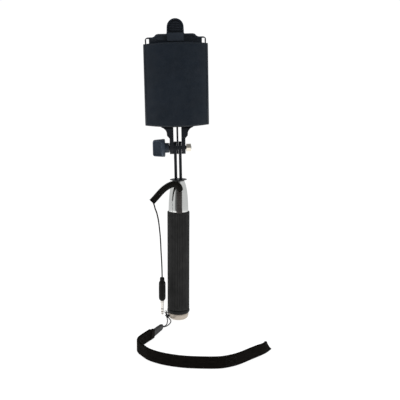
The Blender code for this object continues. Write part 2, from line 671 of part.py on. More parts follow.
def holder_back():
    """The curved back: a shell with rolled sides, cut to its bowed top and bottom edges."""
    outer = shell_section(0.0)
    inner = shell_section(BACK_WALL)
    loop = [(-u, v) for u, v in reversed(inner[1:])] + inner
    loop += outer[::-1] + [(-u, v) for u, v in outer[1:]]
    thing = outline("holder_back", [loop], BACK_BOTTOM - 6 * MM, BACK_TOP + 6 * MM)
    edge_radius = (BACK_HALF ** 2 + BACK_BOW ** 2) / (2 * BACK_BOW)
    sweep = math.degrees(math.asin((BACK_HALF - 1.0 * MM) / edge_radius))
    low = arc(0.0, BACK_BOTTOM - BACK_BOW + edge_radius, edge_radius, -90 - sweep, -90 + sweep, 13)
    high = arc(0.0, BACK_TOP + BACK_BOW - edge_radius, edge_radius, 90 - sweep, 90 + sweep, 13)
    rim = low + [(39.5 * MM, BACK_BOTTOM + 1.2 * MM), (39.5 * MM, BACK_TOP - 1.2 * MM)] + high
    rim += [(-39.5 * MM, BACK_TOP - 1.2 * MM), (-39.5 * MM, BACK_BOTTOM + 1.2 * MM)]
    trim = outline("trim", [rim], -20 * MM, 20 * MM, ALONG_Y, CUTTERS)
    thing = keep_common(thing, trim)
    bosses = []
    for sign in (-1, 1):
        bosses.append(rod("boss", 2.6 * MM, (sign * FORK_SCREW_X, -7.9 * MM, FORK_SCREW_Z),
                          (sign * FORK_SCREW_X, -4.3 * MM, FORK_SCREW_Z), 14, CUTTERS))
        bosses.append(rod("post", 1.0 * MM, (sign * SPRING_X, -4.2 * MM, 248.9 * MM),
                          (sign * SPRING_X, 0.6 * MM, 248.9 * MM), 12, CUTTERS))
        for height in (COVER_SCREW_LOW, COVER_SCREW_HIGH):
            bosses.append(rod("boss", 2.6 * MM, (sign * COVER_SCREW_X, -5.9 * MM, height),
                              (sign * COVER_SCREW_X, 0.9 * MM, height), 14, CUTTERS))
    thing = join(thing, *bosses)
    holes = []
    for sign in (-1, 1):
        holes.append(rod("pilot", 1.2 * MM, (sign * FORK_SCREW_X, -7.2 * MM, FORK_SCREW_Z),
                         (sign * FORK_SCREW_X, 2 * MM, FORK_SCREW_Z), 12, CUTTERS))
        for height in (COVER_SCREW_LOW, COVER_SCREW_HIGH):
            holes.append(rod("pilot", 1.3 * MM, (sign * COVER_SCREW_X, -4.4 * MM, height),
                             (sign * COVER_SCREW_X, 4 * MM, height), 12, CUTTERS))
    thing = cut(thing, *holes)
    paint(thing, (0.016, 0.021, 0.029), 0.38)
    return thing


def screw_part(name, x, z, head_face, head_radius, length, shank_radius=1.0 * MM):
    """A pan-head screw along Y, its head towards +Y, with a driver slot."""
    head = 1.1 * MM
    profile = [(0.0, 0.0), (head_radius * 0.75, 0.0), (head_radius, -0.35 * MM), (head_radius, -head),
               (shank_radius, -head), (shank_radius, -head - length + 0.5 * MM),
               (shank_radius * 0.4, -head - length), (0.0, -head - length)]
    thing = turned(name, profile, 14)
    thing = cut(thing, block("slot", (-1.5 * MM, -0.25 * MM, -0.5 * MM), (1.5 * MM, 0.25 * MM, 1 * MM),
                             group=CUTTERS))
    thing.data.transform(Matrix.Translation((x, head_face, z)) @ Matrix.Rotation(math.radians(-90), 4, 'X'))
    paint(thing, (0.5, 0.5, 0.5), 0.3, 1.0)
    return thing


def inner_cover():
    """The flat cover that closes the back's shell and holds the jaw's legs in their channels."""
    low, high, corner = 243.0 * MM, 333.4 * MM, 2.5 * MM
    rim = arc(COVER_HALF - corner, low + corner, corner, -90, 0, 5)
    rim += arc(COVER_HALF - corner, high - corner, corner, 0, 90, 5)
    holes = [arc(sign * COVER_SCREW_X, height, 1.35 * MM, 0, 337.5, 16)
             for sign in (-1, 1) for height in (COVER_SCREW_LOW, COVER_SCREW_HIGH)]
    thing = outline("inner_cover", [mirrored(rim)] + holes, -COVER_REAR, -COVER_FRONT, ALONG_Y)
    paint(thing, (0.02, 0.022, 0.026), 0.5)
    screws = []
    for number in range(4):
        x = (-COVER_SCREW_X, COVER_SCREW_X)[number % 2]
        height = (COVER_SCREW_LOW, COVER_SCREW_HIGH)[number // 2]
        screws.append(screw_part(f"cover_screw_{number + 1}", x, height, 4.2 * MM, 2.2 * MM, 6.4 * MM))
    for sign, side in ((-1, "left"), (1, "right")):
        screws.append(screw_part(f"fork_screw_{side}", sign * FORK_SCREW_X, FORK_SCREW_Z, 0.7 * MM, 2.2 * MM,
                                 5.4 * MM))
    return [thing] + screws


def lower_jaw():
    """The fixed ledge, with its lip, screwed to the cover."""
    ledge = [(3.1 * MM, 250.0 * MM), (5.1 * MM, 250.0 * MM), (5.1 * MM, 256.6 * MM), (6.6 * MM, 258.1 * MM),
             (15.6 * MM, 258.6 * MM), (LIP_REAR, 260.2 * MM), (LIP_REAR, 267.0 * MM), (LIP_FRONT, 267.0 * MM),
             (LIP_FRONT, LEDGE_TOP), (3.1 * MM, LEDGE_TOP)]
    thing = outline("lower_jaw", [ledge], -JAW_HALF, JAW_HALF, ALONG_X)
    thing = rounded(thing, 0.4 * MM, 2)
    holes = [rod("hole", 1.3 * MM, (sign * JAW_SCREW_X, -1 * MM, JAW_SCREW_Z),
                 (sign * JAW_SCREW_X, 8 * MM, JAW_SCREW_Z), 16, CUTTERS) for sign in (-1, 1)]
    thing = cut(thing, *holes)
    paint(thing, (0.02, 0.022, 0.026), 0.45)
    pad = block("lower_pad", (-22 * MM, 4.6 * MM, LEDGE_TOP + 0.1 * MM),
                (22 * MM, LIP_FRONT - 0.2 * MM, LEDGE_TOP + 1.3 * MM), 0.3 * MM)
    paint(pad, (0.05, 0.05, 0.05), 0.85)
    back = block("back_pad", (-27 * MM, 3.1 * MM, 264.0 * MM), (27 * MM, 4.2 * MM, 324.0 * MM), 0.3 * MM)
    paint(back, (0.05, 0.05, 0.05), 0.85)
    screws = [screw_part(f"jaw_screw_{side}", sign * JAW_SCREW_X, JAW_SCREW_Z, 6.4 * MM, 2.2 * MM, 2.2 * MM)
              for sign, side in ((-1, "left"), (1, "right"))]
    return [thing, pad, back] + screws


def arch_edge(inset):
    """Right half of the jaw's outer edge above the bar, from the leg to the tab's crown."""
    leg = LEG_OUTER - inset
    top = BAR_TOP - inset
    arch = ARCH_TOP - inset
    tab = TAB_HALF - inset
    points = arc(leg - 3.4 * MM, top - 3.4 * MM, 3.4 * MM, 0, 90, 6)
    points += [(27.5 * MM - inset * 0.4, top), (25.2 * MM - inset * 0.6, top + 0.7 * MM),
               (22.6 * MM - inset * 0.8, arch - 0.6 * MM), (20.4 * MM - inset, arch)]
    points += [(tab + 1.2 * MM, arch), (tab + 0.3 * MM, arch + 0.35 * MM)]
    points += arc(0.0, TAB_TOP - TAB_HALF, tab, 0, 90, 9)
    return points


def upper_jaw():
    """The sliding jaw: an upside-down U whose legs run in the back's channels, with an arched
    bridge, a thumb tab, and the hook that holds the phone."""
    right = [(LEG_OUTER, 338.9 * MM)] + arch_edge(0.0)
    inside = [(LEG_INNER, 338.9 * MM), (LEG_INNER, 341.5 * MM), (31.0 * MM, 341.5 * MM),
              (31.0 * MM, 333.0 * MM)]
    loop = right + [(-u, v) for u, v in reversed(right[:-1])]
    loop += [(-u, v) for u, v in inside] + inside[::-1]
    thing = outline("upper_jaw", [loop], 0.6 * MM, -LEG_FRONT, ALONG_Y)
    rim_half = [(u, v) for u, v in arch_edge(0.0) if v >= BAR_TOP - 0.1 * MM]
    inner_half = [(u, v) for u, v in arch_edge(1.7 * MM) if v >= BAR_TOP - 1.8 * MM]
    rim = rim_half + [(-u, v) for u, v in reversed(rim_half[:-1])]
    rim += [(-u, v) for u, v in inner_half[:-1]] + inner_half[::-1]
    rim = outline("rim", [rim], 2.8 * MM, 6.4 * MM, ALONG_Y, CUTTERS)
    base = block("tab_base", (-TAB_HALF + 0.2 * MM, -6.8 * MM, 338.6 * MM),
                 (TAB_HALF - 0.2 * MM, -2.7 * MM, 348.2 * MM), group=CUTTERS)
    hook = [(-1.2 * MM, 336.6 * MM), (-1.2 * MM, 341.4 * MM), (14.6 * MM, 341.4 * MM), (LIP_REAR, 339.4 * MM),
            (LIP_REAR, 332.0 * MM), (LIP_FRONT, 332.0 * MM), (LIP_FRONT, 338.4 * MM), (3.2 * MM, 338.4 * MM),
            (0.6 * MM, 336.6 * MM)]
    hook = outline("hook", [hook], -JAW_HALF, JAW_HALF, ALONG_X, CUTTERS)
    legs = []
    for sign in (-1, 1):
        far, near = LEG_OUTER - 0.05 * MM, LEG_INNER + 0.05 * MM
        leg = [(28.4 * MM, LEG_FOOT), (far, LEG_FOOT), (far, 340.4 * MM), (near, 340.4 * MM),
               (near, LEG_FOOT + 2.4 * MM), (28.4 * MM, LEG_FOOT + 2.4 * MM)]
        legs.append(outline("leg", [[(sign * u, v) for u, v in leg]], -LEG_REAR, 0.75 * MM, ALONG_Y, CUTTERS))
    thing = join(thing, rim, base, hook, *legs)
    paint(thing, (0.02, 0.025, 0.033), 0.35)
    pad = block("upper_pad", (-22 * MM, 4.4 * MM, 337.2 * MM), (22 * MM, LIP_FRONT - 0.2 * MM, 338.1 * MM),
                0.3 * MM)
    paint(pad, (0.05, 0.05, 0.05), 0.85)
    return thing, tab_insert(), pad


def tab_insert():
    """The ribbed rubber face inside the tab's rim."""
    ribs = [(-3.3 * MM, 348.6 * MM)]
    count = 6
    pitch = 1.9 * MM
    for index in range(count):
        base = 349.2 * MM + index * pitch
        ribs += [(-4.3 * MM, base), (-5.4 * MM, base + 0.35 * MM), (-5.4 * MM, base + 0.95 * MM),
                 (-4.3 * MM, base + 1.3 * MM)]
    ribs += [(-4.3 * MM, 361.6 * MM), (-3.3 * MM, 361.6 * MM)]
    half = TAB_HALF - 2.0 * MM
    thing = outline("tab_grip", [ribs[::-1]], -half, half, ALONG_X)
    face = [(half, 348.6 * MM)] + arc(0.0, TAB_TOP - TAB_HALF, half, 0, 90, 10)
    shape = outline("face", [face + [(-u, v) for u, v in reversed(face[:-1])]], 3.0 * MM, 6.0 * MM, ALONG_Y,
                    CUTTERS)
    thing = keep_common(thing, shape)
    paint(thing, (0.015, 0.017, 0.02), 0.6)
    return thing


def jaw_spring(side, sign):
    steps = 8
    count = SPRING_TURNS * steps
    climb = SPRING_HIGH - SPRING_LOW - 2 * SPRING_WIRE
    route = []
    for index in range(count + 1):
        angle = 2 * math.pi * index / steps
        route.append((sign * SPRING_X + SPRING_RADIUS * math.cos(angle),
                      SPRING_Y + SPRING_RADIUS * math.sin(angle),
                      SPRING_LOW + SPRING_WIRE + climb * index / count))
    thing = wire(f"jaw_spring_{side}", route, SPRING_WIRE, 0)
    paint(thing, (0.55, 0.55, 0.55), 0.3, 1.0)
    return thing


# ---------------------------------------------------------------- lead, plug and strap

def millimetres(points):
    return [Vector(point) * MM for point in points]


def cable_boot():
    """The strain relief in front of the collar: rings nearly down to its foot, on a short stub."""
    profile = [(0.0, 161.9), (3.1, 161.9), (3.4, 161.6)]
    for ring in range(BOOT_RINGS):
        top = 160.6 - ring * 2.0
        profile += [(3.4, top), (2.95, top - 0.3), (2.95, top - 0.7), (3.4, top - 1.0)]
    profile += [(3.6, 138.2), (3.5, 136.6), (2.9, 136.0), (0.0, 136.0)]
    thing = turned("cable_boot", [(r * MM, (z - 136.0) * MM) for r, z in profile], 16)
    stance = Matrix.Translation((BOOT_X, -16.05 * MM, 136.0 * MM)) @ Matrix.Rotation(math.radians(-4.2), 4, 'X')
    thing.data.transform(stance)
    stub = rod("stub", 2.6 * MM, (BOOT_X, -15.8 * MM, 141.0 * MM), (BOOT_X, -10.2 * MM, 141.0 * MM),
               24, CUTTERS)
    thing = join(thing, stub)
    paint(thing, (0.055, 0.05, 0.048), 0.6)


def curly_lead():
    coil = wire("curly_cord", smooth_route(millimetres(COIL_ROUTE), 2.4 * MM), COIL_RADIUS, 3)
    paint(coil, (0.012, 0.011, 0.01), 0.5)
    tail = wire("cable_tail", smooth_route(millimetres(TAIL_ROUTE), 3.4 * MM), TAIL_RADIUS, 2)
    paint(tail, (0.015, 0.014, 0.013), 0.5)


def plug():
    """The plug hangs jack down. Each contact and insulator is its own turned piece."""
    pieces = {
        "plug_housing": [(0.0, 56.6), (2.3, 56.6), (2.8, 56.0), (2.9, 52.0), (3.4, 51.4), (4.1, 50.0),
                         (4.2, 32.0), (4.0, 29.4), (3.2, 27.9), (0.0, 27.6)],
        "jack_sleeve": [(0.0, 27.3), (2.3, 27.3), (2.3, 24.4), (2.1, 24.0), (1.75, 24.0), (1.75, 17.5),
                        (0.0, 17.5)],
        "jack_insulator_1": [(0.0, 17.4), (1.7, 17.4), (1.7, 16.9), (0.0, 16.9)],
        "jack_ring": [(0.0, 16.8), (1.75, 16.8), (1.75, 13.9), (0.0, 13.9)],
        "jack_insulator_2": [(0.0, 13.8), (1.7, 13.8), (1.7, 13.3), (0.0, 13.3)],
        "jack_tip": [(0.0, 13.2), (1.75, 13.2), (1.75, 12.2), (1.15, 11.4), (1.6, 10.4), (1.35, 9.8),
                     (0.6, 9.3), (0.0, 9.3)],
    }
    looks = {"plug_housing": ((0.02, 0.02, 0.02), 0.4, 0.0), "jack_insulator": ((0.03, 0.03, 0.03), 0.5, 0.0)}
    for name, profile in pieces.items():
        steps = 24 if name == "plug_housing" else 16
        thing = turned(name, [(r * MM, z * MM) for r, z in profile], steps)
        thing.data.transform(Matrix.Translation((PLUG_X, PLUG_Y, 0.0)))
        colour, roughness, metallic = looks.get(name.rstrip("_12"), ((0.68, 0.66, 0.62), 0.2, 1.0))
        paint(thing, colour, roughness, metallic)


def strap():
    cord = wire("strap_cord", smooth_route(millimetres(LOOP_ROUTE), 2.6 * MM), LOOP_CORD_RADIUS, 2)
    paint(cord, (0.03, 0.03, 0.03), 0.7)
    start = Vector((-19.3, -41.1, 2.4)) * MM
    end = Vector((-31.6, -77.4, 3.5)) * MM
    length = (end - start).length
    profile = [(0.0, 0.0), (2.1 * MM, 0.0), (2.9 * MM, -1.2 * MM), (3.2 * MM, -6.0 * MM), (2.9 * MM, -15.0 * MM),
               (2.0 * MM, -length + 3.5 * MM), (1.2 * MM, -length + 0.6 * MM), (0.0, -length)]
    ferrule = turned("strap_ferrule", profile, 16)
    turn = (end - start).to_track_quat('Z', 'X').to_matrix().to_4x4()
    ferrule.data.transform(Matrix.Translation(end) @ turn)
    paint(ferrule, (0.045, 0.045, 0.05), 0.6)
    band()


def band():
    """The doubled webbing on its edge: a ribbon along the route, thickened."""
    route = smooth_route([Vector((x, y, 0.0)) * MM for x, y in STRAP_ROUTE], 5.0 * MM)
    curve = bpy.data.curves.new("wrist_strap", 'CURVE')
    curve.dimensions = '3D'
    curve.extrude = STRAP_HEIGHT / 2
    spline = curve.splines.new('POLY')
    spline.points.add(len(route) - 1)
    for point, place in zip(spline.points, route):
        point.co = (place.x, place.y, STRAP_HEIGHT / 2 + 0.05 * MM, 1.0)
    curve.twist_mode = 'Z_UP'
    thing = new_part("wrist_strap", curve)
    thing = freeze(thing)
    thickness = thing.modifiers.new("thickness", 'SOLIDIFY')
    thickness.thickness = STRAP_THICKNESS
    thickness.offset = 0.0
    thing = freeze(thing)
    smooth(thing)
    paint(thing, (0.012, 0.011, 0.01), 0.85)


# ---------------------------------------------------------------- assembly

def build_handle():
    end_cap()
    strap_eyelet()
    handle_tube()
    grip()
    collar()
    shutter_button()
    telescopic_tubes()


def build_head():
    lean = empty("head_seat", SEAT, turn=LEAN)
    hinge = empty("holder_hinge", HINGE, lean, SEAT)
    knob_axis = empty("knob_axis", HINGE, lean, SEAT)
    fork, roll_pin = head_fork()
    knob, bolt, washer, nut = clamp_hardware()
    attach(lean, fork, roll_pin)
    attach(knob_axis, knob, bolt, washer)
    attach(hinge, holder_fork(), nut, holder_back(), *inner_cover(), *lower_jaw())
    attach(hinge, jaw_spring("left", -1), jaw_spring("right", 1))
    jaw_guide = empty("jaw_slide", (0.0, 0.0, LEG_FOOT), lean, SEAT)
    attach(jaw_guide, *upper_jaw())


def build_lead_and_strap():
    cable_boot()
    curly_lead()
    plug()
    strap()


build_handle()
build_head()
build_lead_and_strap()
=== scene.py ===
"""Looks of a telescopic selfie stick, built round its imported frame.

Lengths are millimetres times MM, in the frame's own axes: +Z up the handle, +X to the right of the
holder's back, +Y towards the phone. The head's pieces are made upright and then leaned by HEAD.
"""
import math

import bmesh
import bpy
from mathutils import Matrix, Vector


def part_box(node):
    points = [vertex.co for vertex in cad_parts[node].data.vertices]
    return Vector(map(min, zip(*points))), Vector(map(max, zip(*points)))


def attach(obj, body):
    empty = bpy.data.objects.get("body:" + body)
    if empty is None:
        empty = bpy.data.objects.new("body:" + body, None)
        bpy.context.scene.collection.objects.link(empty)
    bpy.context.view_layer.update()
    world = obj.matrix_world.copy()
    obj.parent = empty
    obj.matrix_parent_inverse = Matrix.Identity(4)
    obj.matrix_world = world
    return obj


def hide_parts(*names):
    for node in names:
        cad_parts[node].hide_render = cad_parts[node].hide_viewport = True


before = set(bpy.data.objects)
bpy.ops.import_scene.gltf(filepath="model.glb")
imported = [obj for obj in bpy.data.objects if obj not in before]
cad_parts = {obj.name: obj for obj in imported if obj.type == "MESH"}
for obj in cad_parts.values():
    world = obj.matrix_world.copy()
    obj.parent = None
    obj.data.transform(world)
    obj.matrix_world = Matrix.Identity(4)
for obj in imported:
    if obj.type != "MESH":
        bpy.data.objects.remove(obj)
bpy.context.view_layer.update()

MM = 0.001


def spin(degrees, axis):
    """A turn about one of the frame's axes."""
    return Matrix.Rotation(math.radians(degrees), 4, axis)


# Driving sizes, the same as the frame's
LEAN = math.radians(-1.2)
SEAT = Vector((0.0, 0.0, 169.5 * MM))
HEAD = Matrix.Translation(SEAT) @ Matrix.Rotation(LEAN, 4, 'Y') @ Matrix.Translation(-SEAT)
BUTTON_Z = 106.0 * MM
GRIP_RIBS = 40
STAGE_COUNT = 5

# Lead
BOOT_FOOT = Vector((1.1, -16.05, 136.0)) * MM
COIL_ROUTE = [(1.5, -14.3, 162.8), (1.3, -14.7, 165.6), (0.0, -15.3, 168.5), (-2.8, -15.5, 170.7),
              (-6.5, -15.5, 171.1), (-10.2, -15.4, 169.9), (-15.0, -15.3, 167.0), (-19.6, -15.2, 163.1),
              (-23.5, -15.1, 158.8), (-27.6, -15.0, 154.0), (-31.9, -15.0, 149.4)]
TAIL_ROUTE = [(-30.9, -15.0, 146.9), (-30.3, -15.0, 145.2), (-28.5, -15.0, 142.0), (-26.3, -15.0, 137.2),
              (-24.1, -15.0, 127.4), (-22.6, -15.0, 115.1), (-21.6, -15.0, 102.8), (-21.1, -15.0, 90.4),
              (-20.4, -15.0, 78.0), (-20.0, -15.0, 67.0), (-19.8, -15.0, 57.1)]
WIRE_RADIUS = 0.85 * MM
COIL_TURN_RADIUS = 3.2 * MM
COIL_PITCH = 1.75 * MM
COIL_CROWDING = 1.6
TURN_POINTS = 20
FIRST_TURN_SHARE = 0.5
TAIL_JOIN = 4
JOIN_HANDLE = 3.2 * MM
WIRE_SPACING = 0.7 * MM
PLUG = Vector((-19.8, -15.0, 0.0)) * MM

# Light seen in reflections, behind the camera and elsewhere
FRONT_LIGHT = 0.10
SIDE_LIGHT = 0.62

# Strap
LOOP_ROUTE = [(-19.3, -39.7, 2.6), (-16.4, -34.0, 1.2), (-14.3, -26.5, 0.8), (-13.6, -18.0, 0.8),
              (-13.5, -12.5, 1.4), (-14.4, -7.0, 4.0), (-15.3, -3.0, 6.8), (-15.6, 0.0, 7.7),
              (-15.2, 2.8, 6.9), (-14.6, 3.6, 4.6), (-14.0, 2.2, 2.6), (-13.2, -1.5, 1.9),
              (-11.2, -6.5, 1.3), (-9.5, -12.0, 0.8), (-9.5, -18.0, 0.8), (-10.9, -25.0, 0.8),
              (-14.3, -33.5, 1.0), (-18.3, -39.8, 1.9)]
STRAP_ROUTE = [(-32.1, -79.3), (-36.4, -88.0), (-40.6, -96.8), (-43.8, -105.5), (-44.6, -114.0),
               (-42.7, -122.3), (-38.6, -130.5), (-30.5, -143.5), (-16.0, -155.0), (1.6, -162.4),
               (18.3, -165.3), (40.8, -165.8), (54.0, -161.0), (65.0, -153.0), (77.5, -140.0),
               (93.6, -123.0), (102.5, -108.6)]
LOOP_RADIUS = 0.6 * MM
STRAP_HEIGHT = 13.0 * MM
STRAP_LAYER = 1.3 * MM
STRAP_LIFT = 0.15 * MM
BAND_STEP = 1.5 * MM
FOLD_LEAN = 13.5 * MM
FOLD_REACH = 42.0 * MM
TAB_START = Vector((-19.3, -41.1, 3.3)) * MM
TAB_END = Vector((-31.6, -77.4, 5.4)) * MM


# ---------------------------------------------------------------- shape helpers

def new_piece(name, mesh, angle=35.0):
    thing = bpy.data.objects.new(name, mesh)
    bpy.context.scene.collection.objects.link(thing)
    if angle:
        mesh.shade_smooth()
        mesh.set_sharp_from_angle(angle=math.radians(angle))
    return thing


def stand_for(thing, body, material, slot, *nodes):
    """The piece rides on a body, takes a material, and hides the CAD nodes that it stands for."""
    thing.data.materials.clear()
    thing.data.materials.append(material)
    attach(thing, body)
    if nodes:
        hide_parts(*nodes)
    return thing


def softened(points, radius, closed=False, steps=4):
    """An outline again, with every corner rounded by at most the radius."""
    result = []
    count = len(points)
    for index, point in enumerate(points):
        if not closed and index in (0, count - 1):
            result.append(tuple(point))
            continue
        here = Vector(point)
        before = Vector(points[index - 1]) - here
        after = Vector(points[(index + 1) % count]) - here
        reach = min(radius, 0.45 * before.length, 0.45 * after.length)
        first = here + before.normalized() * reach
        last = here + after.normalized() * reach
        for step in range(steps + 1):
            t = step / steps
            place = (1 - t) ** 2 * first + 2 * t * (1 - t) * here + t * t * last
            result.append(tuple(place))
    return result


def lathe(name, profile, steps=96, ring=False, place=Matrix.Identity(4), section=None, soft=0.25,
          angle=35.0):
    """A solid of revolution about Z. The profile (mm) runs down the outer side; section, if given,
    turns (angle, radius, height) into the radius there."""
    outline = softened(profile, soft, ring) if soft else profile
    shape = bmesh.new()
    rows = []
    for radius, height in outline:
        if radius < 1e-6:
            rows.append([shape.verts.new((0.0, 0.0, height * MM))])
            continue
        row = []
        for step in range(steps):
            turn = 2 * math.pi * step / steps
            reach = section(turn, radius, height) if section else radius
            row.append(shape.verts.new((reach * MM * math.cos(turn), reach * MM * math.sin(turn),
                                        height * MM)))
        rows.append(row)
    pairs = list(zip(rows, rows[1:] + rows[:1] if ring else rows[1:]))
    for upper, lower in pairs:
        for step in range(steps):
            after = (step + 1) % steps
            if len(upper) == 1:
                shape.faces.new((upper[0], lower[step], lower[after]))
            elif len(lower) == 1:
                shape.faces.new((upper[step], lower[0], upper[after]))
            else:
                shape.faces.new((upper[step], lower[step], lower[after], upper[after]))
    bmesh.ops.recalc_face_normals(shape, faces=shape.faces)
    mesh = bpy.data.meshes.new(name)
    shape.to_mesh(mesh)
    shape.free()
    mesh.transform(place)
    return new_piece(name, mesh, angle)


def prism(name, points, low, high, along='X', bevel=0.0, place=Matrix.Identity(4)):
    """A flat outline in mm, thickened from low to high along an axis, its edges rounded."""
    lay = {'X': lambda u, v, w: (w, u, v), 'Y': lambda u, v, w: (u, w, v), 'Z': lambda u, v, w: (u, v, w)}
    shape = bmesh.new()
    corners = [shape.verts.new(Vector(lay[along](u, v, low)) * MM) for u, v in points]
    face = shape.faces.new(corners)
    grown = bmesh.ops.extrude_face_region(shape, geom=[face])["geom"]
    shift = Vector(lay[along](0, 0, high - low)) * MM
    bmesh.ops.translate(shape, verts=[v for v in grown if isinstance(v, bmesh.types.BMVert)], vec=shift)
    bmesh.ops.recalc_face_normals(shape, faces=shape.faces)
    mesh = bpy.data.meshes.new(name)
    shape.to_mesh(mesh)
    shape.free()
    mesh.transform(place)
    thing = new_piece(name, mesh)
    if bevel:
        round_edges(thing, bevel)
    return thing


def round_edges(thing, width, segments=3, angle=32.0):
    bevel = thing.modifiers.new("edges", 'BEVEL')
    bevel.width = width * MM
    bevel.segments = segments
    bevel.limit_method = 'ANGLE'
    bevel.angle_limit = math.radians(angle)
    bevel.harden_normals = True


def refined(node, name, width, segments=2, angle=32.0):
    """A finer copy of a CAD node: its flat faces made whole again and its edges rounded."""
    shape = bmesh.new()
    shape.from_mesh(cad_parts[node].data)
    bmesh.ops.remove_doubles(shape, verts=shape.verts, dist=0.004 * MM)
    bmesh.ops.dissolve_limit(shape, angle_limit=math.radians(0.6), verts=shape.verts, edges=shape.edges)
    mesh = bpy.data.meshes.new(name)
    shape.to_mesh(mesh)
    shape.free()
    thing = new_piece(name, mesh)
    round_edges(thing, width, segments, angle)
    return thing


def cut_out(thing, cutter):
    """Apply a Boolean difference, and remove the cutter."""
    step = thing.modifiers.new("cut", 'BOOLEAN')
    step.operation = 'DIFFERENCE'
    step.solver = 'EXACT'
    step.object = cutter
    bpy.context.view_layer.update()
    graph = bpy.context.evaluated_depsgraph_get()
    mesh = bpy.data.meshes.new_from_object(thing.evaluated_get(graph))
    name = thing.name
    bpy.data.objects.remove(thing, do_unlink=True)
    bpy.data.objects.remove(cutter, do_unlink=True)
    mesh.shade_smooth()
    mesh.set_sharp_from_angle(angle=math.radians(35.0))
    return new_piece(name, mesh)


def arc(centre_u, centre_v, radius, start, end, count):
    angles = [math.radians(start + (end - start) * i / (count - 1)) for i in range(count)]
    return [(centre_u + radius * math.cos(a), centre_v + radius * math.sin(a)) for a in angles]


def stadium(half_width, half_height, count=17):
    straight = half_height - half_width
    return arc(0, straight, half_width, 0, 180, count) + arc(0, -straight, half_width, 180, 360, count)


def smooth_route(points, spacing):
    """Evenly spaced points of a Catmull-Rom curve through points in mm; the result is in metres."""
    knots = [Vector(p) * MM for p in points]
    knots = [2 * knots[0] - knots[1]] + knots + [2 * knots[-1] - knots[-2]]
    fine = []
    for a, b, c, d in zip(knots, knots[1:], knots[2:], knots[3:]):
        for i in range(24):
            t = i / 24
            fine.append(0.5 * (2 * b + (c - a) * t + (2 * a - 5 * b + 4 * c - d) * t * t
                               + (3 * b - a - 3 * c + d) * t ** 3))
    fine.append(knots[-2])
    lengths = [0.0]
    for first, second in zip(fine, fine[1:]):
        lengths.append(lengths[-1] + (second - first).length)
    count = max(2, round(lengths[-1] / spacing))
    route = []
    index = 0
    for step in range(count + 1):
        target = lengths[-1] * step / count
        while index < len(fine) - 2 and lengths[index + 1] < target:
            index += 1
        span = lengths[index + 1] - lengths[index]
        share = (target - lengths[index]) / span if span else 0.0
        route.append(fine[index].lerp(fine[index + 1], share))
    return route


def cord_curve(name, route, radius, resolution=3):
    curve = bpy.data.curves.new(name, 'CURVE')
    curve.dimensions = '3D'
    curve.bevel_depth = radius
    curve.bevel_resolution = resolution
    curve.use_fill_caps = True
    spline = curve.splines.new('POLY')
    spline.points.add(len(route) - 1)
    for point, place in zip(spline.points, route):
        point.co = (*place, 1.0)
    spline.use_smooth = True
    thing = bpy.data.objects.new(name, curve)
    bpy.context.scene.collection.objects.link(thing)
    return thing


# ---------------------------------------------------------------- materials

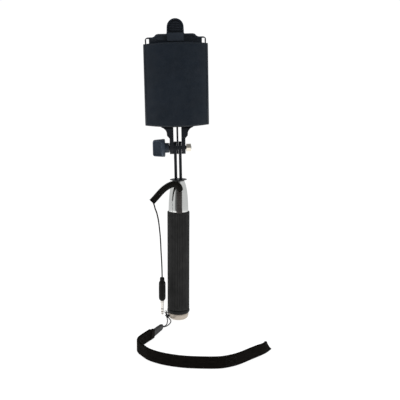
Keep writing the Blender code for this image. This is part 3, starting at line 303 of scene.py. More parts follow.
class Finish:
    """A Principled material with its nodes at hand."""

    def __init__(self, name, roughness=0.5, metallic=0.0, specular=0.5):
        self.material = bpy.data.materials.new(name)
        self.material.use_nodes = True
        self.nodes = self.material.node_tree.nodes
        self.links = self.material.node_tree.links
        self.shader = self.nodes["Principled BSDF"]
        self.shader.inputs["Roughness"].default_value = roughness
        self.shader.inputs["Metallic"].default_value = metallic
        self.shader.inputs["Specular IOR Level"].default_value = specular
        self.place = self.nodes.new("ShaderNodeTexCoord")
        self.bump = None

    def mapped(self, stretch=(1, 1, 1), source="Object"):
        mapping = self.nodes.new("ShaderNodeMapping")
        mapping.inputs["Scale"].default_value = stretch
        self.links.new(self.place.outputs[source], mapping.inputs["Vector"])
        return mapping.outputs["Vector"]

    def noise(self, scale, detail=3.0, stretch=(1, 1, 1), source="Object"):
        texture = self.nodes.new("ShaderNodeTexNoise")
        texture.inputs["Scale"].default_value = scale
        texture.inputs["Detail"].default_value = detail
        self.links.new(self.mapped(stretch, source), texture.inputs["Vector"])
        return texture.outputs["Fac"]

    def cells(self, scale, stretch=(1, 1, 1)):
        texture = self.nodes.new("ShaderNodeTexVoronoi")
        texture.inputs["Scale"].default_value = scale
        self.links.new(self.mapped(stretch), texture.inputs["Vector"])
        return texture.outputs["Distance"]

    def ramp(self, factor, low, high, first=0.3, last=0.7):
        """Two colours or two grey levels, blended by the factor."""
        ramp = self.nodes.new("ShaderNodeValToRGB")
        ramp.color_ramp.elements[0].position = first
        ramp.color_ramp.elements[1].position = last
        for element, tone in zip(ramp.color_ramp.elements, (low, high)):
            element.color = (*tone, 1.0) if hasattr(tone, "__len__") else (tone, tone, tone, 1.0)
        self.links.new(factor, ramp.inputs["Fac"])
        return ramp.outputs["Color"]

    def colour(self, factor, low, high, first=0.3, last=0.7):
        self.links.new(self.ramp(factor, low, high, first, last), self.shader.inputs["Base Color"])

    def worn_and_highlit_colour(self, factor, low, high, edge, wear_and_highlight_strength=0.5):
        """Two mottled colours, and a lighter one on sharp edges: rubbed wear and a painted highlight."""
        geometry = self.nodes.new("ShaderNodeNewGeometry")
        mix = self.nodes.new("ShaderNodeMix")
        mix.data_type = 'RGBA'
        # rubbed wear and a painted highlight: the lighter colour goes where Pointiness finds convex edges
        worn_and_highlit_edges = self.ramp(geometry.outputs["Pointiness"], 0.0, wear_and_highlight_strength, 0.52, 0.62)
        self.links.new(worn_and_highlit_edges, mix.inputs["Factor"])
        self.links.new(self.ramp(factor, low, high), mix.inputs["A"])
        mix.inputs["B"].default_value = (*edge, 1.0)
        self.links.new(mix.outputs["Result"], self.shader.inputs["Base Color"])

    def vary_roughness(self, factor, low, high):
        self.links.new(self.ramp(factor, low, high), self.shader.inputs["Roughness"])

    def relief(self, height, strength, distance):
        """Add a bump, on top of any bump before it."""
        bump = self.nodes.new("ShaderNodeBump")
        bump.inputs["Strength"].default_value = strength
        bump.inputs["Distance"].default_value = distance
        self.links.new(height, bump.inputs["Height"])
        if self.bump:
            self.links.new(self.bump, bump.inputs["Normal"])
        self.bump = bump.outputs["Normal"]
        self.links.new(self.bump, self.shader.inputs["Normal"])

    def product(self, first, second):
        node = self.nodes.new("ShaderNodeMath")
        node.operation = 'MULTIPLY'
        self.links.new(first, node.inputs[0])
        self.links.new(second, node.inputs[1])
        return node.outputs[0]

    def wave(self, axis, pitch, source="UV"):
        """A sine along one axis of the coordinates, from -1 to 1, once every pitch."""
        split = self.nodes.new("ShaderNodeSeparateXYZ")
        self.links.new(self.place.outputs[source], split.inputs[0])
        scaled = self.nodes.new("ShaderNodeMath")
        scaled.operation = 'MULTIPLY'
        scaled.inputs[1].default_value = 2 * math.pi / pitch
        self.links.new(split.outputs[axis], scaled.inputs[0])
        node = self.nodes.new("ShaderNodeMath")
        node.operation = 'SINE'
        self.links.new(scaled.outputs[0], node.inputs[0])
        return node.outputs[0]


def moulded(name, colour, roughness, specular=0.5, grain=0.12, lift=1.35, edge=None, wear_and_highlight=0.5):
    """Moulded plastic: a fine spark-eroded grain, faint mottling, and lighter edges, partly rubbed wear and
    partly a painted highlight.
    """
    finish = Finish(name, roughness, 0.0, specular)
    low = [c / lift for c in colour]
    high = [c * lift for c in colour]
    # the edge colour: rubbed wear and a painted highlight along sharp edges
    edge = edge or [min(1.0, c * 2.6 + 0.01) for c in colour]
    finish.worn_and_highlit_colour(finish.noise(55.0, 4.0), low, high, edge, wear_and_highlight)
    finish.vary_roughness(finish.noise(130.0, 5.0), roughness - 0.06, roughness + 0.08)
    finish.relief(finish.cells(2600.0), grain, 0.02 * MM)
    finish.relief(finish.noise(900.0, 2.0), grain * 0.5, 0.03 * MM)
    return finish.material


def rubber(name, colour, roughness=0.75, grain=0.35, specular=0.2, wear_and_highlight=0.4):
    finish = Finish(name, roughness, 0.0, specular)
    # lighter edges and rib crests: partly rubbed wear, partly a painted highlight
    finish.worn_and_highlit_colour(finish.noise(70.0, 5.0), [c * 0.75 for c in colour], [c * 1.3 for c in colour],
                       [c * 1.8 + 0.006 for c in colour], wear_and_highlight)
    finish.vary_roughness(finish.noise(240.0, 4.0), roughness - 0.1, roughness + 0.08)
    finish.relief(finish.noise(3200.0, 3.0), grain, 0.04 * MM)
    return finish.material


def polished(name, colour, roughness, lines=(1, 1, 1), scratch=0.06):
    """Plated or drawn metal with faint smudges and fine lines."""
    finish = Finish(name, roughness, 1.0)
    finish.colour(finish.noise(45.0, 3.0), [c * 0.93 for c in colour], [min(1.0, c * 1.05) for c in colour])
    finish.vary_roughness(finish.noise(90.0, 6.0, lines), max(0.02, roughness - 0.05), roughness + 0.08)
    finish.relief(finish.noise(1500.0, 2.0, lines), scratch, 0.01 * MM)
    return finish.material


def webbing():
    """Woven nylon: warp and weft crossing, and brown-black yarn."""
    finish = Finish("strap_webbing_woven", 0.92, 0.0, 0.08)
    weft = finish.wave(0, 1.05 * MM)
    warp = finish.wave(1, 0.86 * MM)
    finish.colour(finish.noise(900.0, 3.0, (0.12, 1.0, 1.0), "UV"), (0.0020, 0.0016, 0.0013),
                  (0.0075, 0.0058, 0.0045))
    finish.relief(finish.product(weft, warp), 0.75, 0.16 * MM)
    finish.relief(finish.noise(5200.0, 2.0, (1, 1, 1), "UV"), 0.5, 0.05 * MM)
    return finish.material


def braid(name, colour):
    """Fine braided cord: two crossing spirals of yarn."""
    finish = Finish(name, 0.75, 0.0, 0.15)
    finish.colour(finish.noise(1500.0, 2.0), [c * 0.6 for c in colour], [c * 1.5 for c in colour])
    finish.relief(finish.cells(1700.0, (1.0, 1.0, 1.0)), 0.8, 0.12 * MM)
    return finish.material


def leather(name, colour):
    """Smooth leather: fine pebbled grain with creases."""
    finish = Finish(name, 0.6, 0.0, 0.2)
    # lighter sharp edges: burnished wear, and a painted highlight as well
    finish.worn_and_highlit_colour(finish.noise(160.0, 5.0), [c * 0.75 for c in colour], [c * 1.3 for c in colour],
                       [c * 1.9 for c in colour], 0.6)
    finish.vary_roughness(finish.noise(320.0, 4.0), 0.46, 0.66)
    finish.relief(finish.cells(1500.0), 0.5, 0.10 * MM)
    finish.relief(finish.noise(260.0, 5.0), 0.3, 0.12 * MM)
    return finish.material


def circuit_board():
    finish = Finish("board_solder_mask", 0.35)
    finish.colour(finish.cells(420.0), (0.01, 0.11, 0.05), (0.03, 0.2, 0.1), 0.35, 0.45)
    finish.relief(finish.cells(420.0), 0.3, 0.05 * MM)
    return finish.material


CAP_METAL = polished("cap_satin", (0.46, 0.405, 0.345), 0.26, (1, 1, 5), 0.05)
EYELET = polished("eyelet_bright", (0.8, 0.8, 0.78), 0.2)
STEEL_TUBE = polished("tube_drawn", (0.62, 0.62, 0.64), 0.3, (1, 1, 0.03), 0.2)
CHROME = polished("collar_plated", (0.84, 0.845, 0.82), 0.1, (1, 1, 0.04), 0.05)
STAGE_CHROME = polished("stage_plated", (0.82, 0.82, 0.82), 0.11, (1, 1, 0.03), 0.06)
BRASS = polished("bush_turned", (0.72, 0.56, 0.27), 0.3, (1, 1, 4), 0.15)
ZINC = polished("screw_zinc", (0.62, 0.62, 0.61), 0.3, (1, 1, 1), 0.12)
NUT_METAL = polished("nut_plated", (0.86, 0.8, 0.69), 0.16, (1, 1, 1), 0.08)
SPRING_METAL = polished("spring_wire", (0.6, 0.6, 0.6), 0.28)
JACK_METAL = polished("jack_nickel", (0.80, 0.765, 0.72), 0.17)
# the strong edge lightening (0.9) lights up the rib crests: a painted highlight over rubbed wear
GRIP_RUBBER = rubber("grip_foam_rubber", (0.0260, 0.0260, 0.0255), 0.82, 0.4, 0.2, 0.9)
RING_RUBBER = rubber("ring_rubber", (0.010, 0.010, 0.010), 0.6, 0.2)
BOOT_RUBBER = rubber("boot_soft", (0.046, 0.041, 0.039), 0.66, 0.2)
PAD_RUBBER = rubber("pad_ribbed", (0.03, 0.03, 0.031), 0.85, 0.4)
TAB_RUBBER = rubber("tab_ribbed", (0.0125, 0.0165, 0.0235), 0.55, 0.2, 0.4)
CORD_JACKET = rubber("lead_jacket", (0.0065, 0.0058, 0.0048), 0.6, 0.1, 0.12, 0.2)
BUTTON_PLASTIC = moulded("button_satin", (0.05, 0.05, 0.055), 0.4)
SWITCH_PLASTIC = moulded("switch_moulded", (0.05, 0.05, 0.05), 0.5)
NYLON = moulded("bush_natural_nylon", (0.7, 0.7, 0.66), 0.5, 0.5, 0.1, 1.05, (0.8, 0.8, 0.78))
HOLDER_PLASTIC = moulded("holder_blue_black", (0.0110, 0.0165, 0.0250), 0.34, 0.5, 0.08, 1.12, wear_and_highlight=0.0)
JAW_PLASTIC = moulded("jaw_satin", (0.0130, 0.0175, 0.0250), 0.34, 0.5, 0.1, 1.2)
FORK_PLASTIC = moulded("fork_satin", (0.008, 0.0095, 0.0125), 0.42, 0.25, 0.12)
COVER_PLASTIC = moulded("cover_textured", (0.012, 0.0125, 0.014), 0.5, 0.4, 0.25)
KNOB_PLASTIC = moulded("knob_satin", (0.030, 0.040, 0.056), 0.42, 0.3, 0.1)
PLUG_PLASTIC = moulded("plug_gloss", (0.0055, 0.0055, 0.0050), 0.4, 0.14, 0.05, wear_and_highlight=0.2)
BLACKENED = polished("clamp_blackened", (0.05, 0.05, 0.052), 0.38, (1, 1, 4), 0.1)
BOARD = circuit_board()
WEBBING = webbing()
LOOP_BRAID = braid("strap_cord_braided", (0.022, 0.022, 0.024))
TAB_LEATHER = leather("tab_leather", (0.0125, 0.0125, 0.0135))
THREAD = braid("stitch_thread", (0.012, 0.012, 0.012))


# ---------------------------------------------------------------- camera, studio and floor

def camera():
    """A long lens looking slightly down. Its focal length and distance are fitted, not known."""
    data = bpy.data.cameras.new("camera")
    data.lens = 72.0
    data.sensor_width = 36.0
    data.shift_x = 0.0539
    data.clip_start = 0.01
    thing = bpy.data.objects.new("camera", data)
    thing.location = (0.0, -0.9565, 0.3167)
    thing.rotation_euler = (math.radians(90.0 - 9.93), 0.0, 0.0)
    bpy.context.scene.collection.objects.link(thing)
    bpy.context.scene.camera = thing


def panel_light(name, place, aim, width, height, power):
    data = bpy.data.lights.new(name, 'AREA')
    data.shape = 'RECTANGLE'
    data.size = width
    data.size_y = height
    data.energy = power
    thing = bpy.data.objects.new(name, data)
    thing.location = place
    thing.rotation_euler = (Vector(aim) - Vector(place)).to_track_quat('-Z', 'Y').to_euler()
    thing.visible_glossy = False
    bpy.context.scene.collection.objects.link(thing)


def mapped_range(nodes, links, value, from_low, from_high, to_low, to_high):
    node = nodes.new("ShaderNodeMapRange")
    node.interpolation_type = 'SMOOTHSTEP'
    node.inputs["From Min"].default_value = from_low
    node.inputs["From Max"].default_value = from_high
    node.inputs["To Min"].default_value = to_low
    node.inputs["To Max"].default_value = to_high
    links.new(value, node.inputs["Value"])
    return node.outputs["Result"]


def studio():
    """Soft panels on both sides and overhead, in a surround that is white to the eye; in
    reflections it is dark behind the camera and bright at the sides and the back."""
    middle = (0.0, 0.0, 0.17)
    panel_light("left_panel", (-1.15, -0.35, 0.55), middle, 0.5, 1.2, 4.2)
    panel_light("right_panel", (1.15, -0.25, 0.5), middle, 0.5, 1.2, 3.6)
    panel_light("top_panel", (0.05, 0.35, 1.5), middle, 1.2, 0.9, 7.0)
    panel_light("front_panel", (0.1, -1.25, 0.85), (0.0, 0.0, 0.25), 0.8, 0.6, 3.0)
    world = bpy.data.worlds.new("white_surround")
    world.use_nodes = True
    nodes = world.node_tree.nodes
    links = world.node_tree.links
    surround = nodes["Background"]
    surround.inputs["Color"].default_value = (0.97, 0.985, 1.0, 1.0)
    coordinates = nodes.new("ShaderNodeTexCoord")
    split = nodes.new("ShaderNodeSeparateXYZ")
    links.new(coordinates.outputs["Generated"], split.inputs[0])
    around = mapped_range(nodes, links, split.outputs["Y"], -0.85, -0.66, FRONT_LIGHT, SIDE_LIGHT)
    upward = mapped_range(nodes, links, split.outputs["Z"], 0.55, 0.92, 1.0, 0.2)
    strength = nodes.new("ShaderNodeMath")
    strength.operation = 'MULTIPLY'
    links.new(around, strength.inputs[0])
    links.new(upward, strength.inputs[1])
    links.new(strength.outputs[0], surround.inputs["Strength"])
    backdrop = nodes.new("ShaderNodeBackground")
    backdrop.inputs["Color"].default_value = (1.0, 1.0, 1.0, 1.0)
    backdrop.inputs["Strength"].default_value = 1.03
    ray = nodes.new("ShaderNodeLightPath")
    mix = nodes.new("ShaderNodeMixShader")
    links.new(ray.outputs["Is Camera Ray"], mix.inputs["Fac"])
    links.new(surround.outputs[0], mix.inputs[1])
    links.new(backdrop.outputs[0], mix.inputs[2])
    links.new(mix.outputs[0], nodes["World Output"].inputs["Surface"])
    bpy.context.scene.world = world
    bpy.context.scene.view_settings.view_transform = 'Standard'


def floor():
    """A white table top, bright enough to melt into the surround except in soft shadows."""
    shape = bmesh.new()
    bmesh.ops.create_circle(shape, cap_ends=True, segments=96, radius=0.6)
    mesh = bpy.data.meshes.new("table_top")
    shape.to_mesh(mesh)
    shape.free()
    top = new_piece("table_top", mesh, 0.0)
    finish = Finish("white_sweep", 0.9, 0.0, 0.0)
    finish.colour(finish.noise(3.0), (0.30, 0.30, 0.30), (0.32, 0.32, 0.32))
    finish.shader.inputs["Emission Color"].default_value = (1.0, 1.0, 1.0, 1.0)
    finish.shader.inputs["Emission Strength"].default_value = 0.87
    top.data.materials.append(finish.material)


# ---------------------------------------------------------------- lead

def coil_points():
    """The helix round the coil's route, from the boot's mouth to its last turn. Its turns are
    crowded in a bend to stay closed on the bend's outside, so they run into each other inside it,
    which real wire can't do. The pitch and so the wire's length are guesses."""
    spine = smooth_route(COIL_ROUTE, 0.25 * MM)
    length = sum((b - a).length for a, b in zip(spine, spine[1:]))
    step = length / (len(spine) - 1)
    wound = [0.0]
    for index in range(1, len(spine)):
        near = spine[index] - spine[max(index - 4, 0)]
        far = spine[min(index + 4, len(spine) - 1)] - spine[index]
        bend = near.angle(far, 0.0) / (4 * step)
        crowding = min(COIL_CROWDING, 1.0 + bend * COIL_TURN_RADIUS)
        wound.append(wound[-1] + step / COIL_PITCH * crowding)
    turns = wound[-1]
    count = round(turns * TURN_POINTS)
    points = []
    side = Vector((0.0, -1.0, 0.0))
    low = 0
    for index in range(count + 1):
        target = turns * index / count
        while low < len(spine) - 2 and wound[low + 1] < target:
            low += 1
        centre = spine[low].lerp(spine[low + 1], (target - wound[low]) / (wound[low + 1] - wound[low]))
        along = (spine[low + 1] - spine[low]).normalized()
        side = (side - along * side.dot(along)).normalized()
        other = along.cross(side)
        turn = 2 * math.pi * target
        opening = math.sin(min(1.0, target / 0.8) * math.pi / 2)
        reach = COIL_TURN_RADIUS * (FIRST_TURN_SHARE + (1 - FIRST_TURN_SHARE) * opening)
        points.append(centre + (side * math.cos(turn) + other * math.sin(turn)) * reach)
    return points


def bridge(before, start, end, after, handle, spacing):
    """Points of one smooth curve from start to end, leaving and arriving along its neighbours."""
    leave = start + (start - before).normalized() * handle
    arrive = end - (after - end).normalized() * handle
    count = max(4, round((end - start).length / spacing * 1.6))
    points = []
    for index in range(count + 1):
        t = index / count
        points.append(start * (1 - t) ** 3 + leave * (3 * t * (1 - t) ** 2)
                      + arrive * (3 * t * t * (1 - t)) + end * t ** 3)
    return points


def lead():
    """The curly lead and its straight tail, as one wire, with the boot and the plug on it. The coil
    ends in its last turn where the wire already points at the tail, so that it leaves without a kink."""
    coil = coil_points()
    tail = smooth_route(TAIL_ROUTE, 2.0 * MM)
    join = tail[TAIL_JOIN]

    def aim(index):
        heading = (coil[index] - coil[index - 1]).normalized()
        return heading.dot((join - coil[index]).normalized())

    last = max(range(len(coil) - TURN_POINTS, len(coil)), key=aim)
    coil = coil[:last + 1]
    crossing = bridge(coil[-2], coil[-1], join, tail[TAIL_JOIN + 1], JOIN_HANDLE, WIRE_SPACING)
    route = coil + crossing[1:] + tail[TAIL_JOIN + 1:]
    wire = cord_curve("curly_lead_wire", route, WIRE_RADIUS, 3)
    stand_for(wire, "handle", CORD_JACKET, "cord_black", "curly_cord", "cable_tail")
    boot = cable_boot()
    plug = plug_pieces()
    return route


def cable_boot():
    """The strain relief in front of the collar, ringed, on a stub through the collar."""
    profile = [(0.0, 26.2), (1.1, 26.2), (1.3, 25.9), (3.05, 25.9), (3.35, 25.6)]
    for ring in range(10):
        top = 24.6 - ring * 2.0
        profile += [(3.4, top), (2.9, top - 0.3), (2.9, top - 0.7), (3.4, top - 1.0)]
    profile += [(3.6, 2.2), (3.5, 0.6), (2.9, 0.0), (0.0, 0.0)]
    stance = Matrix.Translation(BOOT_FOOT) @ spin(-4.2, 'X')
    boot = lathe("cable_boot_sleeve", profile, 64, place=stance, soft=0.3)
    stand_for(boot, "handle", BOOT_RUBBER, "boot_rubber", "cable_boot")
    stub_place = Matrix.Translation((BOOT_FOOT.x, -10.2 * MM, 141.0 * MM))
    turn = stub_place @ spin(90, 'X')
    stub = lathe("cable_boot_stub", [(0.0, 5.6), (2.6, 5.6), (2.6, 0.0), (0.0, 0.0)], 48, place=turn)
    stand_for(stub, "handle", BOOT_RUBBER, "boot_rubber")
    return boot


def plug_pieces():
    """The plug, hanging jack down: a ringed housing and the jack's contacts and insulators."""
    housing = [(0.0, 56.6), (1.6, 56.6), (2.4, 56.4), (2.75, 55.9), (2.85, 52.6), (2.95, 51.9), (3.4, 51.3),
               (4.0, 50.2), (4.2, 48.8), (4.05, 48.4), (4.05, 48.0), (4.2, 47.6), (4.2, 46.8), (4.05, 46.4),
               (4.05, 46.0), (4.2, 45.6), (4.2, 32.0), (4.1, 30.2), (3.6, 28.8), (2.8, 27.8), (0.0, 27.6)]
    sleeve = [(0.0, 27.3), (2.3, 27.3), (2.3, 26.2), (2.05, 26.0), (2.3, 25.7), (2.3, 24.6), (2.05, 24.0),
              (1.75, 23.8), (1.75, 17.5), (0.0, 17.5)]
    tip = [(0.0, 13.2), (1.75, 13.2), (1.75, 12.2), (1.2, 11.4), (1.6, 10.5), (1.35, 9.8), (0.6, 9.35),
           (0.0, 9.3)]
    insulators = [[(0.0, top), (1.68, top), (1.68, foot), (0.0, foot)]
                  for top, foot in ((17.45, 16.85), (13.85, 13.25))]
    plastic = (PLUG_PLASTIC, "plug_plastic")
    metal = (JACK_METAL, "jack_metal")
    shapes = {
        "plug_housing": (housing, *plastic),
        "jack_sleeve": (sleeve, *metal),
        "jack_insulator_1": (insulators[0], *plastic),
        "jack_ring": ([(0.0, 16.8), (1.75, 16.8), (1.75, 13.9), (0.0, 13.9)], *metal),
        "jack_insulator_2": (insulators[1], *plastic),
        "jack_tip": (tip, *metal),
    }
    made = []
    for node, (profile, material, slot) in shapes.items():
        piece = lathe(node + "_turned", profile, 56, place=Matrix.Translation(PLUG), soft=0.18)
        made.append(stand_for(piece, "handle", material, slot, node))
    return made


# ---------------------------------------------------------------- strap

def swept_band(name, path, section, uplift):
    """A ribbon's solid: a section of (outward, height) points swept along a flat path of
    (place, outward direction, forward direction, notch weight, lean), with UVs in metres."""
    shape = bmesh.new()
    layer = shape.loops.layers.uv.new("UVMap")
    rows = []
    alongs = []
    travelled = 0.0
    before = None
    for place, outward, forward, weight, lean in path:
        if before is not None:
            travelled += (place - before).length
        before = place
        alongs.append(travelled)
        row = []
        for out, height in section:
            push = weight * uplift * ((2 * height / STRAP_HEIGHT) ** 2 - 1.0)
            push -= lean * (height / STRAP_HEIGHT + 0.5)
            point = place + outward * out + forward * push
            row.append(shape.verts.new((point.x, point.y, STRAP_LIFT + STRAP_HEIGHT / 2 + height)))
        rows.append(row)
    girth = [0.0]
    for (a, b), (c, d) in zip(section, section[1:] + section[:1]):
        girth.append(girth[-1] + math.hypot(c - a, d - b))
    size = len(section)
    for index in range(len(rows) - 1):
        for step in range(size):
            after = (step + 1) % size
            face = shape.faces.new((rows[index][step], rows[index][after], rows[index + 1][after],
                                    rows[index + 1][step]))
            corners = ((alongs[index], girth[step]), (alongs[index], girth[step + 1]),
                       (alongs[index + 1], girth[step + 1]), (alongs[index + 1], girth[step]))
            for loop, corner in zip(face.loops, corners):
                loop[layer].uv = corner
    shape.faces.new(rows[0])
    shape.faces.new(list(reversed(rows[-1])))
    bmesh.ops.recalc_face_normals(shape, faces=shape.faces)
    mesh = bpy.data.meshes.new(name)
    shape.to_mesh(mesh)
    shape.free()
    return new_piece(name, mesh, 60.0)


def band_section():
    """A webbing's section: two faces with lengthwise cords, and rounded selvedges."""
    half = STRAP_LAYER / 2
    edge = STRAP_HEIGHT / 2 - half
    cords = 11
    points = []
    for side in (1, -1):
        for index in range(cords * 4 + 1):
            height = side * (edge - 2 * edge * index / (cords * 4))
            swell = 0.07 * MM * math.cos(2 * math.pi * index / 4)
            points.append((side * (half - 0.05 * MM + swell), height))
        for angle in (-30, -60, -90, -120, -150):
            bend = math.radians(angle)
            points.append((side * half * math.cos(bend), side * (-edge + half * math.sin(bend))))
    return points


def band_line():
    """The middle line of the doubled webbing, flat on the table."""
    return smooth_route([(x, y, 0.0) for x, y in STRAP_ROUTE], BAND_STEP)


def direction_at(line, index):
    return (line[min(index + 1, len(line) - 1)] - line[max(index - 1, 0)]).normalized()


def wrist_strap():
    """Webbing laid double on its edge: out along one side, round the far fold, and back."""
    line = band_line()
    gap = STRAP_LAYER / 2 + 0.12 * MM
    path = []
    centre = []
    for index, place in enumerate(line):
        along = direction_at(line, index)
        outward = Vector((along.y, -along.x, 0.0))
        left = (len(line) - 1 - index) * BAND_STEP
        weight = max(0.0, 1.0 - left / (7.0 * MM)) ** 2
        lean = FOLD_LEAN * max(0.0, 1.0 - left / FOLD_REACH)
        path.append((place + outward * gap, outward, along, weight, lean))
        middle = place - along * lean * 0.5
        centre.append((middle.x, middle.y, STRAP_LIFT + STRAP_HEIGHT / 2))
    along = direction_at(line, len(line) - 1)
    outward = Vector((along.y, -along.x, 0.0))
    for step in range(1, 12):
        turn = math.pi * step / 12
        facing = outward * math.cos(turn) + along * math.sin(turn)
        path.append((line[-1] + facing * gap, facing, along, 1.0, FOLD_LEAN))
    back = [(2 * line[i] - place, -out, ahead, weight, lean)
            for i, (place, out, ahead, weight, lean) in enumerate(path[:len(line)])]
    path += back[::-1]
    band = swept_band("wrist_strap_webbing", path, band_section(), 1.7 * MM)
    stand_for(band, "handle", WEBBING, "strap_webbing", "wrist_strap")
    return line, band, centre


def stitch_row(shape, start, end, out, pitch=1.9 * MM, radius=0.24 * MM):
    """A row of short sewn threads between two points, standing proud along out."""
    run = end - start
    count = max(1, round(run.length / pitch))
    turn = run.to_track_quat('X', 'Z').to_matrix().to_4x4()
    for index in range(count):
        centre = start + run * (index + 0.5) / count + out * 0.08 * MM
        size = Matrix.Diagonal((0.36 * pitch / radius, 1.0, 1.0, 1.0))
        place = Matrix.Translation(centre) @ turn @ size
        bmesh.ops.create_uvsphere(shape, u_segments=10, v_segments=6, radius=radius, matrix=place)


def stitched_box(name, line, first, last):
    """A sewn box with a cross in it, on both faces of the doubled webbing."""
    shape = bmesh.new()
    face = STRAP_LAYER * 1.5
    for side in (1, -1):
        corners = []
        outs = []
        for index in (first, last):
            along = direction_at(line, index)
            outward = Vector((along.y, -along.x, 0.0)) * side
            outs.append(outward)
            for height in (2.6 * MM, STRAP_HEIGHT - 2.4 * MM):
                corners.append(line[index] + outward * (face + 0.1 * MM) + Vector((0, 0, height)))
        low_a, high_a, low_b, high_b = corners
        out = (outs[0] + outs[1]).normalized()
        for start, end in ((low_a, low_b), (high_a, high_b), (low_a, high_a), (low_b, high_b),
                           (low_a, high_b), (high_a, low_b)):
            stitch_row(shape, start, end, out)
    mesh = bpy.data.meshes.new(name)
    shape.to_mesh(mesh)
    shape.free()
    piece = new_piece(name, mesh, 180.0)
    return stand_for(piece, "handle", THREAD, "strap_webbing")


def tab_frame(start, end):
    """A frame whose X runs from start to end and whose Z stays upright."""
    along = (end - start).normalized()
    across = Vector((0, 0, 1)).cross(along).normalized()
    up = along.cross(across)
    turn = Matrix((along, across, up)).transposed().to_4x4()
    return Matrix.Translation(start) @ turn


def leather_tab():
    """The pointed leather tab between the thin cord and the webbing, with its seam."""
    length = (TAB_END - TAB_START).length / MM
    rim = [(0.0, -1.6), (1.9, -2.9), (7.0, -3.4), (length * 0.5, -4.0), (length - 1.0, -4.3),
           (length + 3.0, -4.5), (length + 3.0, 4.5), (length - 1.0, 4.3), (length * 0.5, 4.0), (7.0, 3.7),
           (1.9, 3.2), (0.0, 1.7)]
    place = tab_frame(TAB_START, TAB_END)
    tab = prism("strap_tab", softened(rim, 1.0, True), -1.45, 1.45, 'Y', 0.55, place)
    stand_for(tab, "handle", TAB_LEATHER, "ferrule_leather", "strap_ferrule")
    shape = bmesh.new()
    for side in (-1, 1):
        for height in (-3.0, 3.0):
            ends = [place @ (Vector((x, side * 1.42, height)) * MM) for x in (4.4, length - 6.0)]
            out = (place.to_3x3() @ Vector((0, side, 0))).normalized()
            stitch_row(shape, ends[0], ends[1], out, 1.7 * MM, 0.2 * MM)
    mesh = bpy.data.meshes.new("strap_tab_seam")
    shape.to_mesh(mesh)
    shape.free()
    seam = stand_for(new_piece("strap_tab_seam", mesh, 180.0), "handle", THREAD, "ferrule_leather")
    keeper_start = place @ (Vector((length - 6.5, 0.0, 0.0)) * MM)
    keeper_end = place @ (Vector((length + 4.0, 0.0, 0.3)) * MM)
    keeper = prism("strap_keeper", stadium(2.6, 5.8), 0.0, (keeper_end - keeper_start).length / MM, 'Z', 0.7)
    keeper.data.transform(tab_frame(keeper_start, keeper_end) @ spin(90, 'Z')
                          @ spin(90, 'X'))
    stand_for(keeper, "handle", WEBBING, "strap_webbing")
    return tab, seam, keeper


def knot():
    """The thin cord's knot below the eyelet: a trefoil pulled tight."""
    points = []
    count = 90
    for index in range(count + 1):
        t = 2 * math.pi * index / count
        points.append(Vector((-13.5, -3.6, 4.0)) * MM + Vector((
            (math.sin(t) + 2 * math.sin(2 * t)) * 0.85, math.cos(3 * t + 0.5) * 0.8,
            (math.cos(t) - 2 * math.cos(2 * t)) * 0.62)) * MM)
    thing = cord_curve("strap_cord_knot", points, 0.72 * MM, 3)
    return stand_for(thing, "handle", LOOP_BRAID, "strap_cord_nylon")


def eyelet():
    """A bright screw eye in the side of the cap."""
    ring = lathe("eyelet_ring", [(2.4 - 0.5 + 0.5 * math.cos(a), 0.5 * math.sin(a))
                                 for a in [-2 * math.pi * i / 20 for i in range(20)]], 56, ring=True, soft=0)
    stand = spin(-35, 'Z') @ spin(90, 'X')
    ring.data.transform(Matrix.Translation((-15.7 * MM, 0, 7.7 * MM)) @ stand)
    stand_for(ring, "handle", EYELET, "eyelet_steel", "strap_eyelet")
    turn = Matrix.Translation((-14.6 * MM, -0.2 * MM, 6.8 * MM)) @ spin(90, 'Y')
    profile = [(0.0, 4.0), (0.7, 4.0), (0.7, 2.1), (1.3, 2.0), (1.3, 1.2), (0.7, 1.0), (0.7, 0.0), (0.0, 0.0)]
    shank = lathe("eyelet_shank", profile, 32, place=turn, soft=0.15)
    stand_for(shank, "handle", EYELET, "eyelet_steel")


def strap():
    line, band, centre = wrist_strap()
    tab, seam, keeper = leather_tab()
    boxes = [stitched_box("strap_sewn_end", line, 9, 17), stitched_box("strap_sewn_middle", line, 104, 112)]
    cord = cord_curve("strap_thin_cord", smooth_route(LOOP_ROUTE, 0.8 * MM), LOOP_RADIUS, 3)
    stand_for(cord, "handle", LOOP_BRAID, "strap_cord_nylon", "strap_cord")
    knot()
    eyelet()


# ---------------------------------------------------------------- handle

def grip():
    """The ribbed rubber sleeve: rounded ribs that run out at both ends, and the button's seat."""
    def ribs(turn, radius, height):
        if radius < 12.5:
            return radius
        wave = abs(math.cos(turn * GRIP_RIBS / 2))
        return radius - 0.85 * (1.0 - min(1.0, wave * 1.7)) ** 1.1
    profile = [(13.1, 135.4), (13.45, 134.9), (13.5, 134.0)]
    profile += [(13.5, 134.0 - 6.0 * i) for i in range(1, 20)]
    profile += [(13.55, 16.0), (13.6, 14.2), (13.3, 13.25), (11.5, 13.2), (11.5, 135.4)]
    sleeve = lathe("grip_ribbed_sleeve", profile, GRIP_RIBS * 12, ring=True, section=ribs, soft=0)
    seat = prism("seat", stadium(6.3, 13.3), 8.0, 16.0, 'Y', 0.0, Matrix.Translation((0, 0, BUTTON_Z)))
    sleeve = cut_out(sleeve, seat)
    stand_for(sleeve, "handle", GRIP_RUBBER, "grip_rubber", "grip_sleeve")
    rim = [(13.2, 12.95), (13.75, 12.5), (13.9, 11.6), (13.9, 10.2), (13.6, 9.3), (13.0, 8.5), (11.5, 8.5),
           (11.5, 12.95)]
    ring = lathe("grip_end_ring", rim, 128, ring=True, soft=0.4)
    stand_for(ring, "handle", RING_RUBBER, "grip_rubber", "grip_ring")


